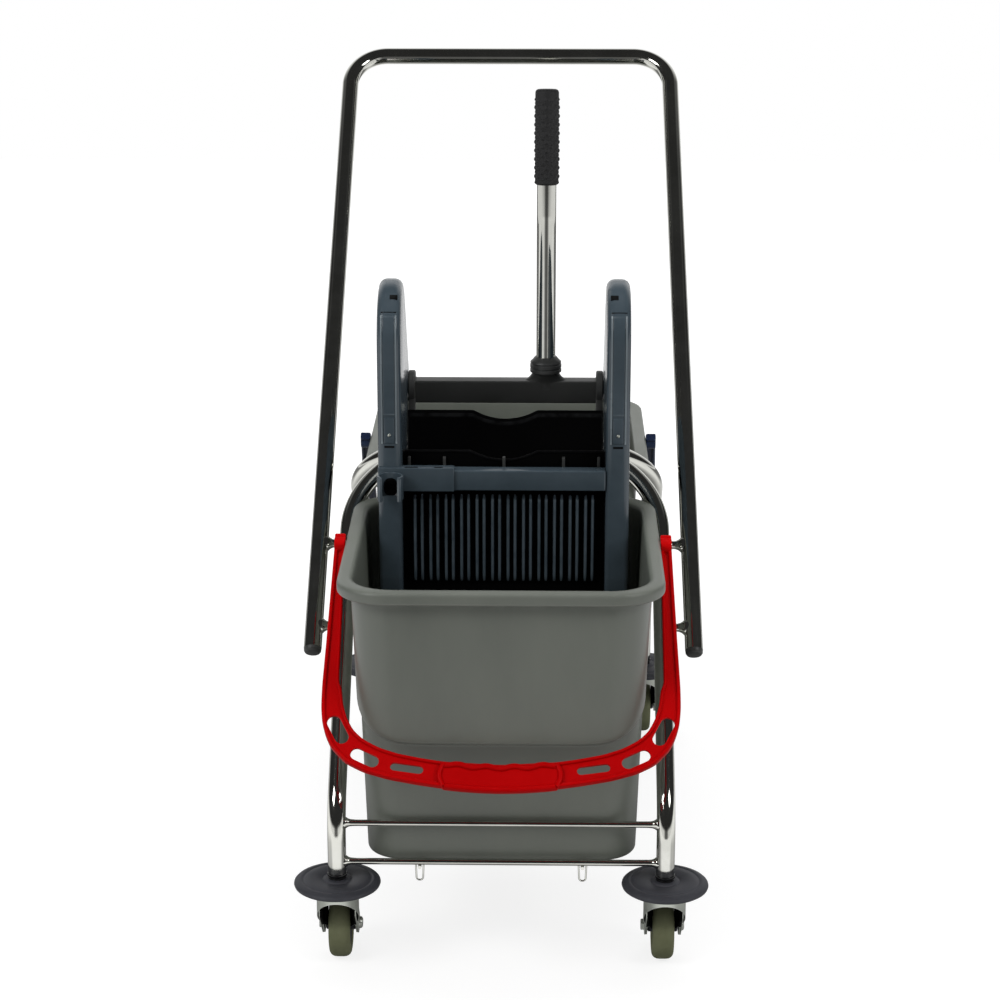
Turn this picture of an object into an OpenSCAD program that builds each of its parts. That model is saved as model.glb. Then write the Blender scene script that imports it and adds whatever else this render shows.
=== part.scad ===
// Double mop bucket trolley: chromed tube frame on four swivel casters, two lift-out
// buckets with bails, a press wringer hung on the frame's arch, and a push handle.
// Millimetres. +Z up, -Y is the front (wringer bucket), +Y the rear, where it is pushed.
// The origin is on the floor, midway between the four caster stems.

/* [Frame] */
// Outer diameter of the frame and handle tube
tube_d = 20; // [16:0.5:25]
// Wall of the frame and handle tube
tube_wall = 1.5; // [1:0.1:3]
// Distance between the left and right legs, tube centre to tube centre
track_w = 355; // [350:1:380]
// Distance between the front and rear caster stems
wheel_base = 666; // [655:1:700]
// Height at which a leg would meet the sloping arch if it were not rounded
leg_knee_z = 185; // [180:1:200]
// Bend radius of the leg's knee
knee_r = 70; // [50:1:90]
// Height of the arch bars' centre
arch_z = 500; // [490:1:520]
// Bend radius of the arch's shoulders
arch_corner_r = 105; // [80:1:120]
// Diameter of the cross rods between the legs
rod_d = 7; // [5:0.5:9]
// Height of the lower cross rods' centre
lower_rod_z = 130; // [128:1:140]
// Height of the upper cross rods' centre
upper_rod_z = 174; // [160:1:180]
// Diameter of the two wires that carry the buckets
wire_d = 4; // [3:0.5:8]
// Distance between the two bucket wires
wire_pitch = 176; // [140:1:220]
// Diameter of the thin loops under the lower rods
loop_d = 2; // [1.5:0.25:3]
// Inner radius of the loops
hook_r = 3; // [3:0.5:6]
// Length of the loops
loop_l = 18; // [12:1:24]

/* [Push handle] */
// Width of the handle at its lower ends, tube centre to tube centre
handle_low_w = 424; // [410:1:440]
// Width of the handle at its top, tube centre to tube centre
handle_top_w = 401; // [396:1:430]
// Distance up the slope from the knee to the handle's lower ends
handle_low_s = 197; // [150:1:230]
// Distance up the slope from the knee to the handle's top bar
handle_top_s = 1027; // [950:1:1027]
// Bend radius of the handle's top corners
handle_corner_r = 46; // [35:1:60]
// Distance up the slope from the knee to the lower studs
low_stud_s = 225; // [206:1:240]
// Distance up the slope from the knee to the upper studs
high_stud_s = 329; // [290:1:340]
// Diameter of the studs between handle and arch
stud_d = 8; // [6:0.5:12]
// Length of the black plugs that stand out of the handle's ends
plug_l = 6; // [3:0.5:12]

/* [Casters] */
// Wheel diameter
wheel_d = 75; // [44:1:80]
// Wheel width
wheel_w = 24; // [18:1:26]
// Distance from the swivel axis back to the wheel's axle
caster_trail = 40; // [30:1:44]
// Diameter of the swivel stem
stem_d = 10; // [8:0.5:12]
// Diameter of the wheel axle
axle_d = 8; // [6:0.5:9]
// Height of the underside of the bumper discs
bumper_z = 102; // [98:1:104]
// Diameter of the bumper discs
bumper_d = 94; // [80:1:100]
// Thickness of the bumper discs
bumper_t = 8; // [6:0.5:9]
// Height of the collar between bumper and leg
collar_h = 6; // [4:0.5:9]
// Thickness of the fork's cheeks
cheek_t = 3; // [2:0.25:4]

/* [Buckets] */
// Outer width of a bucket's rim
rim_w = 342; // [336:1:344]
// Outer depth of a bucket's rim
rim_l = 351; // [340:1:356]
// Distance from the trolley's middle to the rims
rim_gap = 46; // [45:1:50]
// Height of the rims
rim_z = 458; // [452:1:466]
// Height of the turned-down rim
rim_h = 13; // [10:0.5:16]
// Overhang of the rim past the wall
rim_over = 13.5; // [8:0.5:15]
// Corner radius of the rim
rim_corner_r = 52; // [46:1:56]
// Wall of the buckets
bucket_wall = 3.5; // [2.5:0.25:5]
// Half the width that a wall loses from rim to floor
side_taper = 11; // [8:1:26]
// Height of the step under the overhanging front of a bucket
step_z = 266; // [256:1:290]
// Depth of that step
step_depth = 44; // [38:1:50]
// Chamfer round a bucket's floor
floor_chamfer = 8; // [3:1:22]

/* [Bails] */
// Outer width of a bail
bail_w = 378; // [372:1:380]
// Length from the pivot to the bail's outer edge
bail_l = 288; // [265:1:292]
// Thickness of the bail's band
bail_t = 10; // [8:0.5:12]
// Width of an arm at its pivot
bail_arm_w = 12; // [11:0.5:13]
// Width of the band at the grip
bail_grip_w = 31; // [26:1:36]
// Length of the grip
bail_grip_l = 124; // [100:1:140]
// Distance of the pivot behind the rim's front edge
bail_pivot_y = 186; // [176:1:190]
// Height of the pivot below the rim
bail_pivot_drop = 8; // [6:0.5:10]
// Diameter of the pivot pins
bail_pin_d = 10; // [8:0.5:12]
// Angle at which a bail hangs below the horizontal
bail_hang = 45; // [43:0.5:48]

/* [Wringer] */
// Outer width of the wringer
wringer_w = 277; // [270:1:286]
// Thickness of a side panel
panel_t = 26; // [20:1:28]
// Front face of the panels, in front of the trolley's middle
panel_front = 161; // [155:1:165]
// Height of the panels' rounded tops
panel_top_z = 720; // [710:1:740]
// Radius of the panels' rounded tops
panel_top_r = 62; // [55:1:66]
// Height of the panels' lower ends
panel_low_z = 285; // [275:1:295]
// Thickness of the black press plates
plate_t = 6; // [4:0.5:8]
// Height of the front plate's top edge
front_plate_z = 536; // [530:1:542]
// Depth of the scoops in the plates' top edges
scoop_h = 10; // [8:1:18]
// Width of the scoops
scoop_w = 74; // [40:1:80]
// Height of the front beam's lower edge
beam_z = 497; // [494:1:502]
// Height of the front beam
beam_h = 23; // [20:1:28]
// Number of ribs on the front grille
rib_count = 12; // [9:1:15]
// Pitch of the ribs
rib_pitch = 17.25; // [14:0.25:17.5]
// Depth of the ribs
rib_depth = 9; // [6:0.5:11]
// Hinge of the moving press plate, in front of the trolley's middle
press_y = 111; // [108:1:116]
// Height of that hinge
press_z = 305; // [300:1:312]
// Radius of the press plate's hinge pins
press_pin_r = 5; // [4:0.5:6]
// Lever axis, in front of the trolley's middle
lever_y = 3; // [0:0.5:5]
// Height of the lever axis
lever_z = 575; // [572:0.5:580]
// Radius of the lever shaft's journals
journal_r = 8; // [6:0.5:10]
// Place of the lever tube along the shaft, to the right of the middle
lever_x = 46; // [20:1:70]
// Diameter of the lever tube
lever_d = 22; // [18:0.5:24]
// Height of the lever's top
lever_top_z = 916; // [880:1:960]
// Length of the rubber grip
grip_l = 104; // [100:1:130]
// Diameter of the rubber grip
grip_d = 29; // [27:0.5:34]
// Bore radius of the mop handle clip
clip_r = 11.5; // [10:0.25:12.5]

/* [Fits] */
// Radial clearance of a running fit
run_fit = 0.05; // [0.02:0.01:0.1]
// Gap between pieces that move past each other
move_gap = 0.5; // [0.3:0.1:1]
// Gap under a piece that only rests on another
rest_gap = 0.3; // [0.2:0.1:0.5]

/* [Hidden] */
CORNERS = [["fl", -1, -1], ["fr", 1, -1], ["rl", -1, 1], ["rr", 1, 1]];
CASTER_NODES = ["bumper", "caster_stem", "caster_fork", "caster_axle", "wheel"];
$fn = 64;

CHROME = "silver";
SLATE = [0.22, 0.26, 0.29];
BLACK = [0.07, 0.07, 0.07];
BUCKET_GREY = [0.41, 0.43, 0.40];
BUMPER_GREY = [0.24, 0.25, 0.27];
WHEEL_OLIVE = [0.40, 0.41, 0.31];
RED = [0.62, 0.0, 0.03];
BLUE = [0.04, 0.11, 0.24];

tube_r = tube_d / 2;
leg_x = track_w / 2;
leg_y = wheel_base / 2;
// The arch bars lie side by side, so each stands half a tube from the middle.
arch_y = tube_r;
slope = atan2(arch_z - leg_knee_z, leg_y - arch_y);
slope_l = norm([leg_y - arch_y, arch_z - leg_knee_z]);
knee_turn = 90 - slope;
knee_t = knee_r * tan(knee_turn / 2);
collar_z = bumper_z + bumper_t;
leg_foot_z = collar_z + collar_h;
wire_z = lower_rod_z - rod_d / 2 - wire_d / 2;
// How deep plugs and collars reach into the ends of the tubes
spigot_l = 18;
// By how much a cut reaches past what it cuts
cut = 1;
handle_lean = atan2((handle_low_w - handle_top_w) / 2, handle_top_s - handle_low_s);

// Bent tube and rod: rings of points carried along a path that is bent at its corners

ring_sides = 20;
wire_sides = 12;
bend_steps = 8;

function unit(v) = v / norm(v);

// The corner at b between a and c, bent to radius r.
function bend_at(a, b, c, r) =
    let (u = unit(b - a),
         v = unit(c - b),
         bend = acos(u * v),
         n = unit(v - (u * v) * u),
         start = b - u * r * tan(bend / 2))
    [for (k = [0 : bend_steps]) let (t = bend * k / bend_steps)
        start + r * (sin(t) * u + (1 - cos(t)) * n)];

// The path p with its inner corners bent to the given radii.
function bent_path(p, radii) = concat(
    [p[0]],
    [for (i = [1 : len(p) - 2]) each bend_at(p[i - 1], p[i], p[i + 1], radii[i - 1])],
    [p[len(p) - 1]]);

// Direction of a path at its point i.
function along(q, i) =
    i == 0 ? unit(q[1] - q[0])
    : i == len(q) - 1 ? unit(q[i] - q[i - 1])
    : unit(unit(q[i + 1] - q[i]) + unit(q[i] - q[i - 1]));

// Carries the vector u along, square to each of the directions t.
function carried(t, i, u) =
    i == len(t) ? []
    : let (w = unit(u - (u * t[i]) * t[i])) concat([w], carried(t, i + 1, w));

// Rings of radius r round a path, started from the vector across.
function path_rings(q, r, across, sides) =
    let (t = [for (i = [0 : len(q) - 1]) along(q, i)],
         u = carried(t, 0, across))
    [for (i = [0 : len(q) - 1]) let (v = cross(t[i], u[i]))
        [for (k = [0 : sides - 1]) let (a = 360 * k / sides)
            q[i] + r * (cos(a) * u[i] + sin(a) * v)]];

function reversed(list) = [for (i = [len(list) - 1 : -1 : 0]) list[i]];

// One closed skin over equal rings: the last joined to the first, or both ends flat.
module skin(rings, joined) {
    n = len(rings[0]);
    m = len(rings);
    polyhedron(
        points = [for (r = rings) each r],
        faces = concat(
            joined ? [] : [[for (i = [0 : n - 1]) i], [for (i = [n - 1 : -1 : 0]) (m - 1) * n + i]],
            [for (j = [0 : joined ? m - 1 : m - 2]) for (i = [0 : n - 1])
                let (k = (i + 1) % n, h = (j + 1) % m)
                each [[j * n + i, h * n + i, h * n + k], [j * n + i, h * n + k, j * n + k]]]),
        convexity = 8);
}

// A tube of outer diameter d, open at both ends. The flats of its bore keep the full bore.
module bent_tube(p, radii, across, d) {
    q = bent_path(p, radii);
    bore_r = (d / 2 - tube_wall) / cos(180 / ring_sides);
    skin(concat(path_rings(q, d / 2, across, ring_sides),
                reversed(path_rings(q, bore_r, across, ring_sides))), true);
}

module bent_rod(p, radii, across, d) {
    skin(path_rings(bent_path(p, radii), d / 2, across, wire_sides), false);
}

// Places its children in the sloping plane of the front arch: X across, Y up the slope.
module on_slope() {
    translate([0, -leg_y, leg_knee_z]) rotate([slope, 0, 0]) children();
}

// The trolley's rear half is the front half turned about the vertical.
module turned() {
    rotate([0, 0, 180]) children();
}

module both_sides() {
    children();
    mirror([1, 0, 0]) children();
}

// Frame

// Two legs, their knees, and the bow between the buckets.
module arch() {
    left = [for (p = [[leg_y, leg_foot_z], [leg_y, leg_knee_z], [arch_y, arch_z]]) [-leg_x, -p[0], p[1]]];
    right = [for (p = reversed(left)) [-p[0], p[1], p[2]]];
    color(CHROME)
        bent_tube(concat(left, right), [knee_r, arch_corner_r, arch_corner_r, knee_r], [1, 0, 0], tube_d);
}

// The room that a leg and its knee take up, for what is welded to them.
module leg_room(d) {
    both_sides() {
        translate([leg_x, -leg_y, leg_foot_z])
            cylinder(d = d, h = leg_knee_z - knee_t - leg_foot_z);
        translate([leg_x, -leg_y + knee_r, leg_knee_z - knee_t])
            rotate([90, 0, -90])
                rotate_extrude(angle = knee_turn) translate([knee_r, 0]) circle(d = d);
    }
}

module rods() {
    color(CHROME)
        difference() {
            for (z = [lower_rod_z, upper_rod_z])
                translate([0, -leg_y + rod_lag(z), z])
                    rotate([0, 90, 0]) cylinder(d = rod_d, h = track_w, center = true);
            leg_room(tube_d + 2 * run_fit);
        }
}

// How far the leg's centre has moved back at a height z, where a rod meets the knee.
function rod_lag(z) =
    z <= leg_knee_z - knee_t ? 0 : knee_r * (1 - cos(asin(min(1, (z - leg_knee_z + knee_t) / knee_r))));

// Straight wires under the lower rods, and thin loops that hang from the rods beside them.
module bucket_wires() {
    bend_r = hook_r + loop_d / 2;
    half = bend_r + loop_flat / 2;
    top_z = lower_rod_z - rod_d / 2;
    color(CHROME)
        for (x = [-wire_pitch / 2, wire_pitch / 2]) {
            translate([x, 0, wire_z]) rotate([90, 0, 0])
                cylinder(d = wire_d, h = wheel_base + rod_d, center = true);
            for (y = [-leg_y, leg_y])
                bent_rod([[x - half, y, top_z], [x - half, y, top_z - loop_l],
                          [x + half, y, top_z - loop_l], [x + half, y, top_z]],
                         [bend_r, bend_r], [1, 0, 0], loop_d);
        }
}

loop_flat = 0.4;

module push_handle() {
    low = [handle_low_w / 2, handle_low_s, handle_lift];
    top = [handle_top_w / 2, handle_top_s, handle_lift];
    color(CHROME)
        on_slope()
            bent_tube([[-low[0], low[1], low[2]], [-top[0], top[1], top[2]], top, low],
                      [handle_corner_r, handle_corner_r], [0, 0, 1], tube_d);
}

// Places its children at the handle's lower end, with Z pointing out of the tube.
module at_handle_end() {
    translate([handle_low_w / 2, handle_low_s, handle_lift])
        rotate([90, 0, 0]) rotate([0, handle_lean, 0]) children();
}

// Half the handle's width at a distance s up the slope.
function handle_x(s) = let (t = (s - handle_low_s) / (handle_top_s - handle_low_s))
    (handle_low_w * (1 - t) + handle_top_w * t) / 2;

// A handle too narrow to lie beside the legs lies above them, the studs' least length away.
stud_least = 9;
stud_reach = tube_d + stud_least;
handle_beside = max(0, min(handle_x(handle_low_s), handle_x(high_stud_s)) - leg_x);
handle_lift = handle_beside < stud_reach ? sqrt(pow(stud_reach, 2) - pow(handle_beside, 2)) : 0;

module handle_studs() {
    around = tube_d + 2 * run_fit;
    color(CHROME)
        on_slope() both_sides()
            for (s = [low_stud_s, high_stud_s])
                difference() {
                    translate([leg_x, s, 0]) rotate([0, atan2(handle_x(s) - leg_x, handle_lift), 0])
                        cylinder(d = stud_d, h = norm([handle_x(s) - leg_x, handle_lift]));
                    translate([leg_x, s, 0]) rotate([90, 0, 0])
                        cylinder(d = around, h = 4 * stud_d, center = true);
                    at_handle_end() translate([0, 0, -handle_top_s])
                        cylinder(d = around, h = handle_top_s);
                }
}

plug_edge = 2;
bore_r = tube_r - tube_wall - run_fit;

module handle_plugs() {
    color(BLACK)
        on_slope() both_sides() at_handle_end()
            rotate_extrude()
                polygon([[0, plug_l], [tube_r - plug_edge, plug_l], [tube_r, plug_l - plug_edge],
                         [tube_r, 0], [bore_r, 0], [bore_r, -spigot_l], [0, -spigot_l]]);
}

collar_in = 1;

module leg_collars() {
    color(BLACK)
        for (c = CORNERS)
            translate([c[1] * leg_x, c[2] * leg_y, collar_z])
                difference() {
                    union() {
                        cylinder(r = tube_r - collar_in, h = collar_h);
                        cylinder(r = bore_r, h = collar_h + spigot_l);
                    }
                    translate([0, 0, -cut])
                        cylinder(d = stem_d + 2 * run_fit, h = spigot_l + cut);
                }
}

// Casters

fork_top_z = bumper_z - move_gap;
// Height of the hood's rim at the sides, and how far it rises to the front and falls to the back
hood_z = 64;
hood_rise = 25;
hood_slope = 8;
hood_wall = 2.5;
fork_r = 23;
cheek_gap = 5;
cheek_x = wheel_w / 2 + cheek_gap;
cheek_in = 12;
cheek_drop = 26;
axle_z = wheel_d / 2;
axle_boss_r = 9;
wheel_clear = 4;
bolt_head_t = 4;
bolt_head_share = 1.7;
bolt_head_d = bolt_head_share * axle_d;
tyre_edge = 4;
tyre_side = 10;
hub_deep = 2;
hub_out = cheek_gap - move_gap;

// Places its children at a caster's swivel axis, on the floor.
module at_corner(c) {
    translate([c[1] * leg_x, c[2] * leg_y, 0]) children();
}

// Places its children at a wheel's axle, with Z along +X.
module at_axle(c) {
    at_corner(c) translate([0, caster_trail, axle_z]) rotate([0, 90, 0]) children();
}

module bumper(c) {
    edge = bumper_t / 2;
    color(BUMPER_GREY)
        at_corner(c) translate([0, 0, bumper_z])
            difference() {
                union() {
                    cylinder(d = bumper_d - 2 * edge, h = bumper_t);
                    translate([0, 0, edge])
                        rotate_extrude() translate([bumper_d / 2 - edge, 0]) circle(r = edge);
                }
                translate([0, 0, -cut]) cylinder(d = stem_d + 2 * move_gap, h = bumper_t + 2 * cut);
            }
}

module caster_stem(c) {
    color(CHROME)
        at_corner(c) translate([0, 0, fork_top_z])
            cylinder(d = stem_d, h = collar_z + spigot_l - move_gap - fork_top_z);
}

// The hood: a cup over the wheel, cut off aslant so that it opens to the front.
module caster_hood() {
    roof_z = fork_top_z - hood_slope;
    low_z = hood_z - hood_rise;
    room = 4 * fork_r;
    difference() {
        union() {
            translate([0, 0, low_z]) cylinder(r = fork_r, h = roof_z - low_z);
            translate([0, 0, roof_z]) cylinder(r1 = fork_r, r2 = fork_r - hood_slope, h = hood_slope);
        }
        translate([0, 0, low_z - cut]) cylinder(r = fork_r - hood_wall, h = roof_z - low_z);
        translate([0, 0, hood_z]) rotate([-atan2(hood_rise, fork_r), 0, 0])
            translate([0, 0, -room / 2]) cube(room, center = true);
    }
}

module caster_fork(c) {
    color(CHROME)
        at_corner(c)
            difference() {
                union() {
                    caster_hood();
                    for (s = [-1, 1])
                        translate([s * (cheek_x + cheek_t / 2), 0, 0])
                            rotate([90, 0, 90])
                                linear_extrude(cheek_t, center = true) cheek(fork_top_z - hood_slope);
                }
                translate([0, caster_trail, axle_z]) rotate([0, 90, 0]) {
                    cylinder(d = axle_d + 2 * run_fit, h = 4 * wheel_w, center = true);
                    cylinder(r = wheel_d / 2 + wheel_clear, h = 2 * cheek_x, center = true);
                }
            }
}

// A cheek's outline in the plane of the wheel: from under the hood back to the axle boss.
module cheek(top) {
    translate([caster_trail, axle_z]) circle(r = axle_boss_r);
    polygon([[cheek_in - fork_r, top - cheek_drop], [cheek_in - fork_r, top], [fork_r - cheek_in, top],
             [caster_trail + axle_boss_r, axle_z], [caster_trail - axle_boss_r, axle_z]]);
}

module caster_axle(c) {
    head_x = cheek_x + cheek_t;
    color(CHROME)
        at_axle(c) {
            cylinder(d = axle_d, h = 2 * head_x, center = true);
            for (s = [-1, 1])
                translate([0, 0, s * (head_x + bolt_head_t / 2)])
                    cylinder(d = bolt_head_d, h = bolt_head_t, center = true, $fn = s > 0 ? 48 : 6);
        }
}

// One side of a wheel's section, from its bore out to the middle of the tread.
function wheel_side(side) =
    let (r = wheel_d / 2, half = wheel_w / 2)
    [for (p = [[axle_d / 2 + run_fit, half + hub_out], [axle_d, half + hub_out], [axle_d, half - hub_deep],
               [r - tyre_side, half - hub_deep], [r - tyre_side, half], [r - tyre_edge, half],
               [r, half - tyre_edge]]) [p[0], side * p[1]]];

module wheel(c) {
    color(WHEEL_OLIVE)
        at_axle(c) rotate_extrude() polygon(concat(wheel_side(-1), reversed(wheel_side(1))));
}

// Buckets, drawn in the front place: rings of points stacked into one closed shell

corner_steps = 9;
floor_z = wire_z + wire_d / 2 + rest_gap;
rim_half = rim_w / 2;
rim_front = -rim_gap - rim_l;
rim_rear = -rim_gap;
wall_half = rim_half - rim_over;
wall_front = rim_front + rim_over;
wall_rear = rim_rear - rim_over;
wall_corner = rim_corner_r - rim_over / 2;
// How far the front wall leans in above the step and below it, and the round under the step
front_lean = 12;
low_lean = 14;
bulge = 18;
bulge_steps = 4;
low_front = wall_front + step_depth + front_lean;
// Shares of the side taper that the rear wall and the corners take
rear_share = 0.5;
corner_share = 0.6;
step_hollow = 8;
rim_edge = 1;
rim_round = 4;
lip_in = 2;
floor_lift = 9;

// One ring: a rounded rectangle of half-width hw between the lines yf and yr at height z.
function bucket_ring(z, hw, yf, yr, r) =
    [for (q = [0 : 3]) for (k = [0 : corner_steps])
        let (a = 90 * (q + k / corner_steps),
             cx = (q == 0 || q == 3) ? hw - r : r - hw,
             cy = (q < 2) ? yr - r : yf + r)
        [cx + r * cos(a), cy + r * sin(a), z]];

// Half-width, front, rear and corner radius of the wall's outside at height z.
function wall_in(z) = side_taper * (rim_z - z) / (rim_z - floor_z);
function wall_ring(z, out, front) =
    let (t = wall_in(z))
    bucket_ring(z, wall_half - t + out, front - out, wall_rear - rear_share * t + out,
                wall_corner - corner_share * t + out);

// The front wall leans in a little, turns under at the step and goes on behind the rods.
function front_y(z) =
    z >= step_z + bulge ? wall_front + front_lean * (rim_z - z) / (rim_z - step_z)
    : z >= step_z ? front_y(step_z + bulge) + bulge * (1 - sqrt(1 - pow((step_z + bulge - z) / bulge, 2)))
    : low_front + low_lean * (step_z - z) / (step_z - floor_z);

outer_z = concat(
    [floor_z + floor_chamfer, step_z - bulge - step_hollow, step_z - step_hollow],
    [for (k = [0 : bulge_steps]) step_z + bulge * k / bulge_steps],
    [rim_z - rim_h]);
// The inside lies a wall higher where the step is, so that its roof keeps its thickness.
inner_z = [for (z = outer_z)
    z < step_z - bulge - step_hollow ? floor_z + floor_lift
    : z >= step_z - step_hollow && z < step_z + bulge ? z + bucket_wall : z];

// A ring of the rim, drawn in by that much.
function rim_ring(z, in) = bucket_ring(z, rim_half - in, rim_front + in, rim_rear - in, rim_corner_r - in);

module bucket_shell() {
    base = wall_ring(floor_z, -floor_chamfer, front_y(floor_z));
    walls = [for (z = outer_z) wall_ring(z, 0, front_y(z))];
    rim = [rim_ring(rim_z - rim_h, rim_edge), rim_ring(rim_z - rim_h / 2, 0),
           rim_ring(rim_z - 2 * rim_edge, rim_edge), rim_ring(rim_z, rim_round)];
    lip = wall_ring(rim_z, lip_in - bucket_wall, front_y(rim_z));
    inner = [for (k = [len(outer_z) - 1 : -1 : 0]) wall_ring(inner_z[k], -bucket_wall, front_y(outer_z[k]))];
    skin(concat([base], walls, rim, [lip], inner), false);
}

bail_y = rim_front + bail_pivot_y;
bail_z = rim_z - bail_pivot_drop;
bail_in = rim_half + move_gap;
pin_end = bail_in + bail_arm_w + move_gap;
pin_cap = 3;
pin_cap_over = 2;
pin_cap_d = bail_pin_d + 2 * pin_cap_over;

module bucket() {
    pin_l = pin_end - rim_half + rim_over / 2;
    color(BUCKET_GREY) {
        bucket_shell();
        both_sides()
            translate([rim_half - rim_over / 2, bail_y, bail_z]) rotate([0, 90, 0]) {
                cylinder(d = bail_pin_d, h = pin_l);
                translate([0, 0, pin_l]) cylinder(d = pin_cap_d, h = pin_cap);
            }
    }
}

// Bails, drawn flat with the pivot on the X axis and hung from it

boss_wall = 4;
bail_boss_r = bail_pin_d / 2 + boss_wall;
bail_half = bail_w / 2;
grip_over = 3;
bail_grip_t = bail_t + 2 * grip_over;
// Half of the band's outer and inner edge on a bail of this half-width and length
bail_ref = [189, 288];
bail_out = [[187, 118], [189, 170], [189, 195], [187.2, 212], [183.1, 226.5], [177.2, 239.4],
            [161.8, 255.7], [142.7, 265.5], [117.2, 273], [85.2, 279], [58.6, 283], [21.6, 287], [0, 288]];
bail_inside = [[172.5, 165], [169, 171], [167.2, 188.5], [162.7, 204.6], [155.3, 218.9], [144.2, 229.7],
               [127.8, 238.9], [107.6, 245.8], [80.7, 251.2], [59.4, 254.5], [0, 258]];
// Windows: distance in from the side and up from the bottom, tilt, length and width
bail_windows = [[18, 69.3, 63, 34, 15], [47.2, 37.8, 26, 32, 13.5], [91.6, 26.3, 8, 35, 9]];
// A shorter bail rests higher against the bucket's front.
bail_rest = acos(cos(bail_hang) * bail_ref[1] / bail_l);

function bail_edge(list) = [for (p = list) [p[0] * bail_half / bail_ref[0], -p[1] * bail_l / bail_ref[1]]];
function mirrored(p) = [for (q = reversed(p)) [-q[0], q[1]]];

module bail_band() {
    outer = concat([[bail_in + bail_arm_w, 0]], bail_edge(bail_out));
    inner = concat([[bail_in, 0]], bail_edge(bail_inside));
    difference() {
        polygon(concat(outer, mirrored(outer)));
        polygon(concat(inner, mirrored(inner)));
        both_sides()
            for (w = bail_windows)
                translate([bail_half - w[0], w[1] - bail_l]) rotate(w[2]) slot_2d(w[3], w[4]);
    }
}

module slot_2d(l, w) {
    square([l - w, w], center = true);
    for (s = [-1, 1]) translate([s * (l - w) / 2, 0]) circle(d = w);
}

module bail(tint) {
    color(tint)
        translate([0, bail_y, bail_z]) rotate([bail_rest, 0, 0])
            difference() {
                union() {
                    linear_extrude(bail_t, center = true) bail_band();
                    translate([0, bail_grip_w / 2 - bail_l, 0])
                        rotate([90, 0, 90])
                            linear_extrude(bail_grip_l, center = true) slot_2d(bail_grip_w, bail_grip_t);
                    both_sides()
                        translate([bail_in, 0, 0]) rotate([0, 90, 0])
                            cylinder(r = bail_boss_r, h = bail_arm_w);
                }
                rotate([0, 90, 0])
                    cylinder(d = bail_pin_d + 2 * run_fit, h = 2 * bail_w, center = true);
            }
}

// Wringer, drawn in its place on the arch

panel_x = wringer_w / 2 - panel_t;
inner_w = 2 * panel_x;
// Each panel sits on the arches' shoulders: how far they have dropped at a distance x across.
function shoulder_drop(x) =
    arch_corner_r - sqrt(pow(arch_corner_r, 2) - pow(max(0, x - leg_x + arch_corner_r), 2));
function shoulder_tilt(x) = asin(max(0, x - leg_x + arch_corner_r) / arch_corner_r);
// Half the tube's height, or depth, on a cut at that distance, where it runs aslant.
function cut_r(x, view) = tube_r / cos(atan(tan(shoulder_tilt(x)) * view));
saddle_z = arch_z + cut_r(panel_x, sin(slope)) - shoulder_drop(panel_x) * sin(slope) + rest_gap;
saddle_half = arch_y + cut_r(wringer_w / 2, cos(slope)) + shoulder_drop(wringer_w / 2) * cos(slope)
    + move_gap;
saddle_h = 32;
saddle_foot_z = saddle_z - saddle_h;
// The tongue behind the arches keeps clear of the rear bucket's rim.
hook_t = rim_gap - saddle_half - 3 * move_gap;
plate_set = 24;
plate_y = -panel_front + plate_set;
press_up = 92;
press_top = [-26, rim_z + press_up];
panel_low_back = -97;
// Height by which the panels pass over the front bucket's rim on their way to the arches
rim_clear = 8;
// The cut at a panel's lower front, and the chamfer at its lower back
foot_cut = [16, 110];
foot_chamfer = 12;
top_sweep = 155;
top_steps = 20;
back_drop = 20;

function arc(c, r, from, to, n) =
    [for (k = [0 : n]) let (t = from + (to - from) * k / n) c + r * [cos(t), sin(t)]];

// A panel's outline seen from the side: Y to the right, Z up.
module panel_outline() {
    top_c = [-panel_front + panel_top_r, panel_top_z - panel_top_r];
    back = saddle_half + hook_t;
    difference() {
        polygon(concat(
            [[-panel_front + foot_cut[0], panel_low_z], [-panel_front, panel_low_z + foot_cut[1]]],
            arc(top_c, panel_top_r, 180, 180 - top_sweep, top_steps),
            [[back, lever_z - back_drop], [back, saddle_foot_z], [-back, saddle_foot_z],
             [panel_low_back, rim_z + rim_clear], [panel_low_back, panel_low_z + foot_chamfer],
             [panel_low_back - foot_chamfer, panel_low_z]]));
        translate([-saddle_half, saddle_foot_z - cut])
            square([2 * saddle_half, saddle_z - saddle_foot_z + cut]);
    }
}

strip_w = 12;
strip_deep = 3;
strip_z = [583, 656];

module wringer_panel(side) {
    color(SLATE)
        difference() {
            translate([side * (panel_x + panel_t / 2), 0, 0])
                rotate([90, 0, 90]) linear_extrude(panel_t, center = true) panel_outline();
            translate([side * panel_x, -lever_y, lever_z]) rotate([0, 90, 0])
                cylinder(r = journal_r + run_fit, h = 2 * journal_deep, center = true);
            translate([side * panel_x, -press_y, press_z]) rotate([0, 90, 0])
                cylinder(r = press_pin_r, h = 2 * pin_deep, center = true);
            translate([side * (panel_x + panel_t / 2), -panel_front, (strip_z[0] + strip_z[1]) / 2])
                cube([strip_w + 2 * run_fit, 2 * strip_deep, strip_z[1] - strip_z[0] + 2 * run_fit],
                     center = true);
            translate([side * (panel_x + panel_t / 2), -panel_front, screw_z])
                rotate([90, 0, 0]) cylinder(r = screw_r + run_fit, h = 2 * screw_l, center = true);
        }
}

journal_deep = 15;
pin_deep = 12;
screw_z = 560.5;
screw_r = 2;
screw_l = 10;

module panel_strips() {
    color(SLATE)
        for (side = [-1, 1])
            translate([side * (panel_x + panel_t / 2), -panel_front + strip_deep / 2,
                       (strip_z[0] + strip_z[1]) / 2])
                cube([strip_w, strip_deep, strip_z[1] - strip_z[0]], center = true);
}

screw_head_t = 2;

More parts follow.
